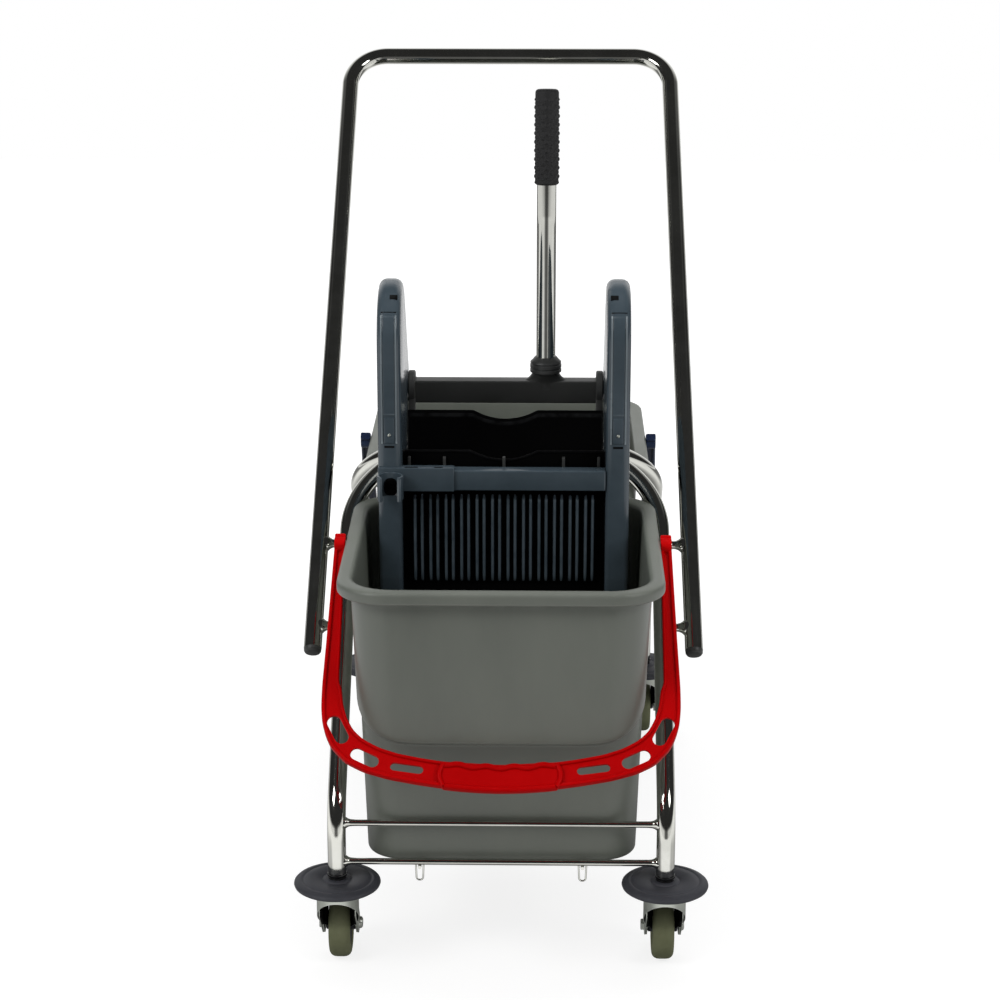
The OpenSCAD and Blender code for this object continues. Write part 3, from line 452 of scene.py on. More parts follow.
def slab(outline, low, high, edge, axes):
    """An outline made thick from low to high. Its rims are quarter rounds: inset e (1 - sin t) at a
    depth of e (1 - cos t), with e one number or one for each point. The axes are those of the
    outline's two numbers and of the thickness."""
    outline, edge = np.asarray(outline, float), np.broadcast_to(edge, len(outline))
    following = np.roll(outline, -1, 0)
    if np.sum(outline[:, 0] * following[:, 1] - outline[:, 1] * following[:, 0]) < 0:
        outline, edge = outline[::-1], edge[::-1]
    ahead = unit(np.roll(outline, -1, 0) - outline)
    middle = unit(ahead + np.roll(ahead, 1, 0))
    mitre = np.clip(np.sum(middle * ahead, 1), 0.5, 1)[:, None]
    inward = np.stack([-middle[:, 1], middle[:, 0]], 1) / mitre
    t = np.linspace(0, np.pi / 2, 5)[:, None]
    inset, depth = edge * (1 - np.sin(t)), edge * (1 - np.cos(t))
    flat = outline + np.concatenate([inset, inset[::-1]])[..., None] * inward
    level = np.concatenate([low + depth, high - depth[::-1]])
    return skin(flat @ axes[:2] + level[..., None] * axes[2])


print("a square with rounded corners has", len(rounded([(0, 0), (1, 0), (1, 1), (0, 1)], 0.1)), "points")

# %% Caster hoods
TRAIL, AXLE_Z, WHEEL_ROOM = 40.0, 37.5, 41.5
RIM_MIDDLE, RIM_SWING, BACK_FROM, ROOF_R = 64.0, 25.0, 146.2, 7.0
CHEEK = rounded([(-11, 68), (-11, 93), (11, 93), (49, 43), (49, 28.6), (31, 28.6)], [5, 1, 1, 12, 8.9, 8.9])
CHEEK_SHADE = rounded([(-11, 68), (-11, 93), (11, 93), (46, 47), (14, 47)], [5, 1, 1, 1, 1])
EYE = rounded([(14, 47.2), (46, 47.2), (49, 43), (49, 28.6), (31, 28.6)], [1, 1, 1, 8.9, 8.9])


def cup(r, top, rim, a):
    """Rings (r sin a, -r cos a): a flat roof, a quarter round of ROOF_R, and a wall down to the rim."""
    bend, fall = np.linspace(0, np.pi / 2, 8)[:, None], np.linspace(0, 1, 10)[1:, None]
    flat = np.array([[0.0], [0.5]]) * (r - ROOF_R) + 0 * a
    eaves = top - ROOF_R
    radii = np.concatenate([flat, r - ROOF_R + ROOF_R * np.sin(bend) + 0 * a, r + 0 * fall * a])
    heights = np.concatenate([top + 0 * flat, eaves + ROOF_R * np.cos(bend) + 0 * a,
                              eaves + (rim - eaves) * fall])
    return np.dstack([radii * np.sin(a), -radii * np.cos(a), heights])


def hood(x, y, outer, inner, roof):
    """A cup with its rim at 64 + 25 cos a, a being the angle from the front, and the same again inside.
    At the back, past BACK_FROM, the rim stands WHEEL_ROOM from the axle and leaves the wheel its room."""
    a = np.radians(np.concatenate([np.linspace(0, BACK_FROM - 0.1, 42),
                                   np.linspace(BACK_FROM + 0.1, 359.9 - BACK_FROM, 20),
                                   np.linspace(360.1 - BACK_FROM, 358, 42)]))
    from_axle = TRAIL + outer * np.cos(a)
    over_wheel = AXLE_Z + np.sqrt(WHEEL_ROOM ** 2 - from_axle ** 2 * (np.cos(a) < 0))
    at_back = np.cos(a) < math.cos(math.radians(BACK_FROM))
    rim = np.where(at_back, over_wheel, RIM_MIDDLE + RIM_SWING * np.cos(a))
    walls = np.concatenate([cup(outer, roof, rim, a), cup(inner, roof - 1.4, rim + 0.2, a)[::-1]])
    return moved(skin(walls, caps=False), x, y, 0)


def side_pair(outline, x, y, off, thick_by, edge):
    """An outline of a caster's side, made a plate on its left and on its right."""
    return [slab(outline + (y, 0), x + s * off - thick_by / 2, x + s * off + thick_by / 2, edge, SIDE)
            for s in (-1, 1)]


for key, (x, y, _) in FEET.items():
    cheeks = side_pair(CHEEK, x, y, 19.6, 1.0, 0.3) + side_pair(EYE, x, y, 18.1, 2.0, 0.4)
    # The black lining, a little inside the zinc, is painted shade for the inside of the hood and the cheeks.
    cheek_shade = side_pair(CHEEK_SHADE, x, y, 18.1, 2.0, 0.2)
    piece(f"caster_hood_{key}", [hood(x, y, 23.0, 22.2, 101.3)] + cheeks, zinc, f"caster_{key}",
          f"caster_fork_{key}")
    piece(f"hood_shade_lining_{key}", [hood(x, y, 22.15, 21.0, 99.5)] + cheek_shade, plate_black, f"caster_{key}")
print(len(FEET), "hoods, with the wheel's room open over", round(360 - 2 * BACK_FROM), "degrees")

# %% Wheels and bolts
ROUND_END = [(0, 24), (4.2, 24), (5.9, 23.2), (6.7, 21.6), (6.8, 20.1), (4, 20.1), (4, -16), (0, -16)]
NUT_END = [(0, -24), (5.9, -24), (6.8, -23.4), (6.8, -20.1), (4, -20.1), (4, -15), (0, -15)]


def both_ways(half):
    """Rows (r, across) of half a profile, followed by their mirror image."""
    return half + [(r, -across) for r, across in half[::-1]]


TREAD = both_ways([(26.5, -10), (27.5, -11.6), (29, -12), (30.5, -12), (32.8, -11.6), (34.8, -10.4),
                   (36.3, -8.6), (37.2, -6.4), (37.5, -3.4)])
HUB = both_ways([(4.1, -16.4), (6.6, -16.4), (7.8, -15.6), (8, -10), (10, -9), (24, -9), (26, -10),
                 (27.8, -10.4)])
ACROSS = (1, 0, 0)

for key, (x, y, _) in FEET.items():
    axle = (x, y + TRAIL, AXLE_Z)
    bolt = [lathe(ROUND_END, axle, ACROSS, 40), lathe(NUT_END, axle, ACROSS, 6)]
    tread, hub = lathe(TREAD, axle, ACROSS, 80, ring=True), lathe(HUB, axle, ACROSS, 64, ring=True)
    piece(f"caster_bolt_{key}", bolt, zinc, f"caster_{key}", f"caster_axle_{key}")
    piece(f"wheel_tread_{key}", [tread], wheel_olive, f"roller_{key}", f"wheel_{key}")
    piece(f"wheel_hub_{key}", [hub], bumper_grey, f"roller_{key}")
print(len(FEET), "wheels of", 2 * max(TREAD)[0], "mm")

# %% [markdown]
# ## Buckets
# Each bucket is moulded in one: a rolled rim, walls that draw in downward, and a front that turns
# under at mid height, so that the lower part fits behind the cross rods. The wall is one grid of rounded
# rectangles. Two families of them, for above and below the turn, are mixed with a smooth step whose
# height rises toward the corners, which rounds the turn off as a mould does. Sculpting could give that
# softness too, but not an even wall inside and out.

# %% Bucket walls
RIM_Z, TURN_Z, FLOOR_Z, WALL = 458.0, 266.0, 126.8, 3.5
HALF_X, REAR_Y, CORNER_R, DRAW = 157.5, -59.5, 45.25, 11.0
FRONT_Y, FRONT_LEAN, LOW_Y, LOW_LEAN = -383.5, 12.0, -327.5, 4.0
TURN_MIDDLE, TURN_HALF, TURN_RISE, TURN_SIDE = 274.0, 11.0, 40.0, 60.0


def rings(z, half, front, rear, corner, arc=14, run=18):
    """Rounded rectangles, one for each row: four quarter circles with straight runs between them."""
    a = np.linspace(0, np.pi / 2, arc)
    half, front, rear, corner = (np.broadcast_to(v, len(z))[:, None] for v in (half, front, rear, corner))
    ends = []
    for k, (sx, y) in enumerate(((1, rear - corner), (-1, rear - corner), (-1, front + corner),
                                 (1, front + corner))):
        turn = a + k * np.pi / 2
        ends.append(np.stack([sx * (half - corner) + corner * np.cos(turn), y + corner * np.sin(turn)], -1))
    t = np.linspace(0, 1, run + 2)[1:-1, None]
    line = []
    for here, after in zip(ends, ends[1:] + ends[:1]):
        line += [here, here[:, -1:] + (after[:, :1] - here[:, -1:]) * t]
    flat = np.concatenate(line, 1)
    return np.dstack([flat, np.broadcast_to(z[:, None], flat.shape[:2])])


def smooth(t):
    """0 below 0, 1 above 1, and 3 t^2 - 2 t^3 between."""
    t = np.clip(t, 0, 1)
    return t * t * (3 - 2 * t)


def wall(z, inset, lift=0.0):
    """Rings of the wall at heights z, inset inward. The turn's height is lifted for the inside. The rear
    draws in by half as much as the sides, and the corners' radius shrinks by 0.6 of it, to no less than 6."""
    draw = DRAW * (RIM_Z - z) / (RIM_Z - FLOOR_Z)
    half, rear = HALF_X - draw - inset, REAR_Y - 0.5 * draw - inset
    corner = np.maximum(CORNER_R - 0.6 * draw - inset, 6)
    above = rings(z, half, FRONT_Y + FRONT_LEAN * (RIM_Z - z) / (RIM_Z - TURN_Z) + inset, rear, corner)
    below = rings(z, half, LOW_Y + LOW_LEAN * (TURN_Z - z) / (TURN_Z - FLOOR_Z) + inset, rear, corner)
    side = np.clip((np.abs(above[..., 0]) - (half - TURN_SIDE)[:, None]) / TURN_SIDE, 0, 1)
    edge = TURN_MIDDLE + lift + TURN_RISE * (1 - np.sqrt(1 - side ** 2))
    share = smooth((edge + TURN_HALF - z[:, None]) / (2 * TURN_HALF))[..., None]
    return above * (1 - share) + below * share


print("the wall draws in by", DRAW, "mm on each side from rim to floor")

# %% Buckets with rims and pins
RIM_X, RIM_FRONT, RIM_REAR, RIM_R = 171.0, -397.0, -46.0, 52.0
PIVOT_X, PIVOT_Y, PIVOT_Z = RIM_X, -211.0, 450.0
FOOT_R, INNER_R, FLOOR_THICK = 5.0, 10.0, 9.0
# The lip's rings: how far in from the rim's outline, and the height.
LIP = np.array([(13.2, 444.8), (6, 444.4), (2.4, 444.5), (1, 445), (0.3, 446), (0, 447.4), (0, 453.6),
                (0.4, 455.8), (1.5, 457.3), (3.2, 458), (8, 458.2), (12, 458), (14.6, 457.3), (16, 455.6),
                (16.8, 452)])
PIN = [(0, -4), (5, -4), (5, 9.4), (4.4, 10), (0, 10)]

foot_turn = np.linspace(0, np.pi / 2, 7)
heights = np.concatenate([np.linspace(136, 250, 12), np.linspace(254, 332, 38), np.linspace(340, 444, 11)])
foot_z, foot_in = FLOOR_Z + FOOT_R * (1 - np.cos(foot_turn)), FOOT_R * (1 - np.sin(foot_turn))
outside = np.concatenate([wall(foot_z, foot_in), wall(heights, np.zeros(len(heights)))])
lip_in, lip_z = LIP.T
lip = rings(lip_z, RIM_X - lip_in, RIM_FRONT + lip_in, RIM_REAR - lip_in, RIM_R - 0.6 * lip_in)
above_foot, inner_turn = heights[heights > 148][::-1], foot_turn[::-1]
inner_z = np.concatenate([above_foot, FLOOR_Z + FLOOR_THICK + INNER_R * (1 - np.cos(inner_turn))])
inner_in = WALL + np.concatenate([np.zeros(len(above_foot)), INNER_R * (1 - np.sin(inner_turn))])
bucket = [skin(np.concatenate([outside, lip, wall(inner_z, inner_in, lift=2.5)]))]
bucket += [lathe(PIN, (s * PIVOT_X, PIVOT_Y, PIVOT_Z), (s, 0, 0), 40) for s in (-1, 1)]
piece("front_bucket_shell", bucket, bucket_grey, "front_bucket", "front_bucket")
piece("rear_bucket_shell", [turned(p) for p in bucket], bucket_grey, "rear_bucket", "rear_bucket")
print("two buckets,", round(lip_z.max() - FLOOR_Z), "mm high")

# %% [markdown]
# ## Bails
# A bail is one flat moulding: thin arms from the pins, a band that swings round the bucket's front
# and a thicker grip in the middle. Raised beads run along both edges and frame the grip, where the upper
# one waves for the fingers. Slots pierce the web between them. The web is a fine grid between the two
# edge lines. Faces inside a slot are left out and the points next to it are pushed onto its outline,
# which gives cleaner edges than cutting the slots with a Boolean.

# %% Bail edges
# Half of each edge line as (x, d), d running away from the pivots.
OUTER = np.array([(183.5, -11), (183.5, 0), (187, 118), (189, 170), (189, 195), (187.2, 212), (183.1, 226.5),
                  (177.2, 239.4), (161.8, 255.7), (142.7, 265.5), (117.2, 273), (85.2, 279), (58.6, 283),
                  (21.6, 287), (0, 288)])
INNER = np.array([(171.5, -11), (171.5, 0), (172.5, 164), (169, 171), (167.2, 188.5), (162.7, 204.6),
                  (155.3, 218.9), (144.2, 229.7), (127.8, 238.9), (107.6, 245.8), (80.7, 251.2),
                  (59.4, 254.5), (0, 258)])


def eased(half, count=520, passes=8):
    """A half line and its mirror image, taken at even steps, each pass averaging a point with its two
    neighbours."""
    line = np.concatenate([half, half[-2::-1] * (-1, 1)])
    run = lengths(line)
    at = np.linspace(0, run[-1], count)
    line = np.stack([np.interp(at, run, line[:, k]) for k in (0, 1)], 1)
    for _ in range(passes):
        line[1:-1] = (line[:-2] + line[1:-1] + line[2:]) / 3
    return line


outer, inner = eased(OUTER), eased(INNER)
to_inner = unit(inner - outer)
print("a bail's edges are", round(lengths(outer)[-1]), "and", round(lengths(inner)[-1]), "mm long")

# %% Bail web
# Each slot's middle (x, d), its tilt in degrees, its length and its width.
SLOTS = ((171, 218.7, 63, 34, 15), (141.8, 250.2, 26, 32, 13.5), (97.4, 261.7, 8, 35, 9))


def web(outer, inner, across=19):
    """The sheet between two edge lines, pierced by the slots. A slot is what lies within w / 2 of a
    line l - w long, so a point's distance to it gives both the test and the push."""
    share = np.linspace(0, 1, across)[:, None]
    points = (inner[:, None] + (outer - inner)[:, None] * share).reshape(-1, 2)
    held = np.zeros(len(points), bool)
    for x, d, tilt, l, w in SLOTS:
        along = np.array([-math.cos(math.radians(tilt)), math.sin(math.radians(tilt))])
        mirror = np.where(points[:, :1] < 0, (-1.0, 1.0), (1.0, 1.0))
        off = points * mirror - (x, d)
        spine = np.clip(off @ along, -(l - w) / 2, (l - w) / 2)[:, None] * along
        gap = np.linalg.norm(off - spine, axis=1, keepdims=True)
        inside = gap < w / 2
        pushed = (x, d) + spine + (off - spine) / np.maximum(gap, 1e-6) * w / 2
        points = np.where(inside, pushed * mirror, points)
        held |= inside[:, 0]
    faces = np.array(grid_faces(len(outer), across, cols_join=False))
    return points, faces[~held[faces].all(1)]


sheet, sheet_faces = web(outer + 2 * to_inner, inner - 2 * to_inner)
print(len(sheet_faces), "faces in a bail's web")

# %% Bail band and beads
TILT = math.sqrt(0.5)
HANG = np.array([[1.0, 0, 0], [0, -TILT, -TILT], [0, -TILT, TILT]])
WEB_HALF = 1.7


def hung(flat, lift=0.0):
    """Points (x, d) of the bail's plane, lifted off it, with the bail hanging forward at 45 degrees."""
    lift = np.broadcast_to(lift, flat.shape[:-1])[..., None]
    return np.concatenate([flat, lift], -1) @ HANG + (0, PIVOT_Y, PIVOT_Z)


def squircle(a, b, sides, power=0.6):
    """A ring between an ellipse and a rectangle: (a cos^p t, b sin^p t), signs kept."""
    ring = circle(sides)
    return np.sign(ring) * np.abs(ring) ** power * (a, b)


def thick(points, faces, push):
    """A sheet's points moved by push either way, with a wall along every edge that has one face."""
    used, faces = np.unique(np.asarray(faces), return_inverse=True)
    points, faces = points[used], faces.reshape(-1, 4)
    push = push[used] if np.ndim(push) > 1 else push
    edges = np.concatenate([faces[:, [k, (k + 1) % 4]] for k in range(4)])
    _, first, times = np.unique(np.sort(edges, 1), axis=0, return_index=True, return_counts=True)
    a, b = edges[first[times == 1]].T
    walls = np.stack([a, b, b + len(points), a + len(points)], 1)
    faces = np.concatenate([faces, faces[:, ::-1] + len(points), walls])
    return np.concatenate([points + push, points - push]), faces.tolist()


bail = [thick(hung(sheet), sheet_faces, HANG[2] * WEB_HALF),
        carried(hung(outer + 2.3 * to_inner), squircle(2.3, 5.0, 28)),
        carried(hung(inner - 1.9 * to_inner), squircle(1.9, 4.6, 28))]
print("a band of", 2 * WEB_HALF, "mm between two beads")

# %% Bail grip and bosses
GRIP_X, GRIP_D, GRIP_SAG, GRIP_END = 62.0, 273.4, 4.4, 0.93
BOSS = [(0, 10.4), (5.1, 10.4), (5.1, 0), (8.2, 0), (9, 0.8), (9, 11.2), (8.2, 12), (0, 12.2)]
ARM_END = rounded([(171.6, -11.6), (183.4, -11.6), (183.4, -5.8), (171.6, -5.8)], 1.6)


def grip_middle(x):
    """How far from the pivots the grip's middle line lies: a parabola."""
    return GRIP_D - GRIP_SAG * (x / GRIP_X) ** 2


def grip(stations=120):
    """The grip: a squircle 30 x 9 along the band's middle, closed by rounded ends."""
    x = np.concatenate([[-GRIP_X], np.linspace(-GRIP_X + 0.4, GRIP_X - 0.4, stations), [GRIP_X]])[:, None]
    end = np.sqrt(np.clip(1 - (np.clip(np.abs(x) - GRIP_X + 2.5, 0, None) / 2.7) ** 2, 0.05, 1))
    ring = squircle(1, 1, 48, 0.45)
    d = grip_middle(x) + ring[:, 0] * 14.8 * end
    return skin(hung(np.dstack([np.broadcast_to(x, d.shape), d]), ring[:, 1] * 4.5 * end))


def grip_beads():
    """Beads round the grip's face. The upper edge waves as cos 8 pi u, the ends bow out as 1 - v^2 and
    the lower edge is a lip that stands past the band."""
    u, v = np.linspace(0, 1, 180), np.linspace(-1, 1, 40)
    x = GRIP_X * GRIP_END * (2 * u - 1)
    upper = np.stack([x, grip_middle(x) - 11.8 + 1.3 * np.cos(8 * np.pi * u)], 1)
    lower = np.stack([x, grip_middle(x) + 11.8], 1)
    ends = [np.stack([s * (58.5 + 4.5 * (1 - v ** 2)), 269.6 + 12.4 * v], 1) for s in (-1, 1)]
    return [tube(hung(upper, 5.0), 2.9, 20), carried(hung(lower, 0.4), squircle(3.2, 5.6, 28, 0.8)),
            *(tube(hung(end, 4.4), 2.7, 20) for end in ends)]


bail += [grip()] + grip_beads()
for s in (-1, 1):
    bail.append(lathe(BOSS, (s * (PIVOT_X + 0.5), PIVOT_Y, PIVOT_Z), (s, 0, 0), 48))
    bail.append(moved(slab(ARM_END * (s, 1), -4.9, 4.9, 0.8, HANG), 0, PIVOT_Y, PIVOT_Z))
piece("front_bail_moulding", bail, red_plastic, "front_bail", "front_bail")
piece("rear_bail_moulding", [turned(p) for p in bail], blue_plastic, "rear_bail", "rear_bail")
print("two bails of", len(bail), "surfaces")

# %% [markdown]
# ## Wringer body
# Two slate panels stand on the arch and the bucket's rim. A beam joins them in front, with a
# bracket and a clip for the mop's handle on its left. Below it a grille of ribs lets the water run out,
# and behind the grille stands a black plate, scooped for the mop. A bevel could soften the panels'
# edges, but their rounding grows from foot to top, so each corner of the outline carries its own.

# %% Side panels
IN_X, OUT_X, MID_X, BLOCK_HALF = 112.5, 138.5, 125.5, 6.1
TOP = np.eye(3)
# Corners (y, z) of the outline, each with its radius and the rounding of the rim there.
SHAPE = np.array([(-145, 285, 5, 4), (-161, 395, 30, 5), (-161, 707.8, 61.5, 8), (-63.8, 729.3, 57, 9),
                  (-42.8, 684.2, 30, 7), (44.5, 555, 14, 4), (44.5, 473.2, 2, 2), (38.8, 473.2, 2, 2),
                  (38.8, 505.2, 3, 2), (-38.8, 505.2, 3, 2), (-38.8, 473.2, 2, 2), (-44.5, 473.2, 2, 2),
                  (-97, 466, 6, 3), (-97, 297, 5, 4), (-109, 285, 5, 4)])
PANEL, PANEL_EDGE = rounded(SHAPE[:, :2], SHAPE[:, 2], 12), np.repeat(SHAPE[:, 3], 12)


def block(low, high, edge):
    """A box between two corners with its edges rounded."""
    (a, b, c), (d, e, f) = low, high
    return slab(rounded([(a, b), (d, b), (d, e), (a, e)], edge), c, f, edge * 0.9, TOP)


def panel_side(s):
    """One panel's parts: the body and the block on its face that holds a screw."""
    parts = [slab(PANEL, IN_X, OUT_X, PANEL_EDGE, SIDE),
             block((MID_X - BLOCK_HALF, -162, 551), (MID_X + BLOCK_HALF, -158, 580), 1.2)]
    return [(p * (s, 1, 1), f) for p, f in parts]


piece("panel_left_moulding", panel_side(-1), wringer_slate, "wringer", "wringer_panel_left")
piece("panel_right_moulding", panel_side(1), wringer_slate, "wringer", "wringer_panel_right")
print("two side panels with outlines of", len(PANEL), "points")

# %% Strips, ribs, slots and screws of the panels
FACE_Y, FACE_Z, FACE_R = -99.0, 658.0, 62.0
RIB_X, FACE_LOW, FACE_HIGH, STRIP_LOW = (117.6, 133.4), 551, 692, 583
# Each mark's x and z, and how tall and wide it is.
MARKS = ((MID_X, 547, 2.2, 11), (MID_X, 695.4, 0.8, 17), (120.5, 709, 6.4, 8.5))
SCREW = [(0, 1.2), (1.1, 1.1), (1.8, 0.5), (2, 0), (2, -2), (0, -2)]


def face_line(x, low, high):
    """A line up a panel's front face: y = Y - sqrt(R^2 - h^2), h being the height over the rounding's
    middle."""
    z = np.linspace(low, high, 48)
    y = FACE_Y - np.sqrt(FACE_R ** 2 - np.clip(z - FACE_Z, 0, None) ** 2)
    return np.stack([np.full(48, x), y, z], 1)


def face_mark(x, z, tall, wide):
    """A dark mark on the face at a height z, as a thin block square to the surface there."""
    over = max(z - FACE_Z, 0)
    out = np.array([-math.sqrt(FACE_R ** 2 - over ** 2), over]) / FACE_R
    up = np.array([-out[1], out[0]]) * (-tall / 2)
    at = np.array([FACE_Y, min(z, FACE_Z)]) + FACE_R * out
    front, back = at + 0.3 * out, at - 3 * out
    return slab([front + up, front - up, back - up, back + up], x - wide / 2, x + wide / 2, 0.2, SIDE)


strips, ribs, marks, screws = [], [], [], []
for s in (-1, 1):
    strips.append(carried(face_line(s * MID_X, STRIP_LOW, FACE_HIGH), squircle(0.7, 6.4, 28, 0.3)))
    ribs += [carried(face_line(s * x, FACE_LOW, FACE_HIGH), squircle(1.3, 1.0, 20)) for x in RIB_X]
    marks += [face_mark(s * x, z, tall, wide) for x, z, tall, wide in MARKS]
    screws.append(lathe(SCREW, (s * MID_X, -161.8, 560.5), (0, -1, 0), 32))
piece("panel_strips_inset", strips, wringer_slate, "wringer", "panel_strips")
# The raised ribs take the lighter slate as a painted highlight.
piece("panel_ribs_painted_highlight", ribs, slate_highlight, "wringer")
piece("panel_slots", marks, plate_black, "wringer")
piece("panel_screw_heads", screws, zinc, "wringer", "panel_screws")
print(len(strips), "strips,", len(ribs), "ribs,", len(marks), "slots and", len(screws), "screws")

# %% Beam, bracket and mop clip
FRONT = np.array([[1.0, 0, 0], [0, 0, 1], [0, 1, 0]])
BRACKET = [(-165, 497), (-165, 524), (-152, 524), (-152, 519.4), (-159, 519.4), (-159, 497)]
BEAM_LOW, BEAM_HIGH, CLIP_LOW = 497, 520, 493
CLIP_X, CLIP_Y, JAW_OUT, JAW_IN = -124.0, -179.5, 14.5, 11.5
TIP = np.array([(12.6, -13.4), (10.4, -14.2), (8.2, -12.6)])

beam = [block((-IN_X, -161, BEAM_LOW), (IN_X, -143, BEAM_HIGH), 2.0),
        slab(rounded(BRACKET, 1.2), -138.4, -54.5, 1.0, SIDE)]
piece("wringer_beam_moulding", beam, wringer_slate, "wringer", "wringer_beam")
mouth = np.radians(np.linspace(-46, 226, 44))
jaw = np.stack([np.cos(mouth), np.sin(mouth)], 1)
jaws = np.concatenate([jaw * JAW_OUT, TIP * (-1, 1), jaw[::-1] * JAW_IN, TIP[::-1]]) + (CLIP_X, CLIP_Y)
piece("mop_clip_moulding", [slab(jaws, CLIP_LOW, BEAM_HIGH, 0.8, TOP)], wringer_slate, "wringer", "mop_clip")
# A black pad at the back of the clip's hollow is painted shade, and two thin black blocks on the bracket's
# top mark the dark slots there.
clip_shade_and_slots = [slab(squircle(7.4, 9.6, 48, 0.75) + (CLIP_X, 504), -173, -167.6, 1.5, FRONT)]
clip_shade_and_slots += [block((low, -163.6, 523), (high, -160.6, 524.3), 0.5) for low, high in ((-109, -94), (-76, -67))]
piece("mop_clip_shade_and_slots", clip_shade_and_slots, plate_black, "wringer")
print("a beam, and a clip for a handle of", 2 * JAW_IN, "mm")

# %% Grille
RIBS, PITCH, RIDGE = 12, 17.25, 3.9
RIDGE_TOP, RIDGE_LOW, RIDGE_BACK = 487.0, 398.0, -140.0


def grille_ridge(x):
    """A ridge of the grille: a thin ring with a rounded front, carried down and drawn to a point below."""
    z = np.concatenate([[RIDGE_TOP], RIDGE_TOP - 1 - np.linspace(0, 3, 4),
                        np.linspace(RIDGE_TOP - 7, RIDGE_LOW, 10),
                        RIDGE_LOW - 12 * np.sin(np.linspace(0.1, 1.57, 10))])[:, None]
    size = np.concatenate([[0.3], np.linspace(0.45, 0.95, 4), np.ones(10),
                           np.cos(np.linspace(0.1, 1.5, 10)) ** 0.7])[:, None]
    half = np.array([(-2.1, 0), (-1.7, -7.6), (-1.3, -9.4), (-0.6, -10)])
    wide, deep = np.concatenate([half, half[::-1] * (-1, 1)]).T
    return skin(np.dstack([x + np.sqrt(size) * wide, RIDGE_BACK + size * deep, z + 0 * wide]))


ridges = [grille_ridge((k - (RIBS - 1) / 2) * PITCH + off) for k in range(RIBS) for off in (-RIDGE, RIDGE)]
piece("grille_ridges", ridges, wringer_slate, "wringer", "wringer_grille")
piece("grille_back", [block((-IN_X, -141, 295), (IN_X, -137.2, BEAM_LOW), 0.6)], plate_black, "wringer")
print(len(ridges), "ridges on", RIBS, "ribs")

# %% Front plate
SCOOP_W, SCOOP_H, SCOOP_R = 74.0, 10.0, 73.45
PLATE_X, PLATE_TOP, PLATE_LOW, ACROSS_COUNT = 112.0, 536.0, 296.0, 113
PEGS_X, PEG_HALF, PEG_LOW, PEG_HIGH = (-105, -66, 0, 66, 105), 1.7, 499, 530


def scoop(x):
    """How far the top edge dips: a circle's arc, sqrt(R^2 - x^2) - (R - h)."""
    x = np.clip(np.abs(x), 0, SCOOP_W / 2)
    return np.clip(np.sqrt(SCOOP_R ** 2 - x ** 2) - (SCOOP_R - SCOOP_H), 0, None)


edge_x = np.linspace(-PLATE_X, PLATE_X, ACROSS_COUNT)
edge_z = PLATE_TOP - scoop(edge_x)
outline = np.concatenate([np.stack([edge_x, edge_z], 1), [(PLATE_X, PLATE_LOW), (-PLATE_X, PLATE_LOW)]])
edge_bead = np.stack([edge_x, np.full(ACROSS_COUNT, -136.6), edge_z - 0.9], 1)
plate = [slab(outline, -137, -131.2, 1.2, FRONT), tube(edge_bead, 1.5, 14)]
piece("front_plate_moulding", plate, plate_black, "wringer", "front_plate")
pegs = [block((x - PEG_HALF, -141.8, PEG_LOW), (x + PEG_HALF, -136, PEG_HIGH), 1.1) for x in PEGS_X]
piece("front_plate_pegs", pegs, black_plastic, "wringer")
print("the front plate is", PLATE_TOP - PLATE_LOW, "mm high and has", len(pegs), "pegs")

# %% Press plate
HINGE_Y, HINGE_Z, UP_COUNT, PRESS_HALF = -111.0, 305.0, 40, 3.0

side_line = bent([(HINGE_Y, HINGE_Z), (-80, 450), (-26, 550)], [60], 20)
run = lengths(side_line)
reach = np.linspace(0, 1, UP_COUNT)[:, None] * (run[-1] - scoop(edge_x))
press = np.dstack([np.broadcast_to(edge_x, reach.shape), np.interp(reach, run, side_line[:, 0]),
                   np.interp(reach, run, side_line[:, 1])])
lean_y, lean_z = np.gradient(press[:, 0, 1:], axis=0).T
push = np.repeat(unit(np.stack([0 * lean_y, lean_z, -lean_y], 1)) * PRESS_HALF, ACROSS_COUNT, 0)
hinge = np.array([[-PLATE_X, HINGE_Y, HINGE_Z], [PLATE_X, HINGE_Y, HINGE_Z]])
parts = [thick(press.reshape(-1, 3), grid_faces(UP_COUNT, ACROSS_COUNT, cols_join=False), push),
         tube(hinge, 8, 40), tube(press[-1], 3.2, 16)]
piece("press_plate_moulding", parts, plate_black, "press", "press_plate")
pins = [tube(np.array([[s * 113, HINGE_Y, HINGE_Z], [s * 98, HINGE_Y, HINGE_Z]]), 5, 32) for s in (-1, 1)]
piece("press_hinge_pins", pins, chrome, "wringer", "press_pins")
print("the press plate is", round(run[-1]), "mm from hinge to edge")

# %% [markdown]
# ## Lever
# A flat shaft turns between the panels and pushes the press plate with two cam fingers. A tee socket
# and a ridged collar hold the bent lever tube, which ends in a rubber grip covered with staggered bumps:
# the radius grows with the positive part of cos(8 t) cos(b s). A Displace modifier could raise them, but
# the formula sets them in even rows.

# %% Lever shaft and collar
LEVER_X, SHAFT_Y, SHAFT_Z = 46.0, -3.0, 575.0
SHAFT_X, FLANGE_X, JOURNAL_X, FINGER_X, FINGER_HALF = 112.0, 108.0, 111.0, 107.7, 4.0
FLANGE = [(0, -4), (17.6, -4), (19, -2.8), (19, 2.8), (17.6, 4), (0, 4)]
JOURNAL = [(0, 0), (8, 0), (8, 14), (0, 14)]
FINGER = rounded([(-9, 6), (9, 6), (-14, -50), (-29, -50)], [6, 6, 6.5, 6.5]) + (SHAFT_Y, SHAFT_Z)
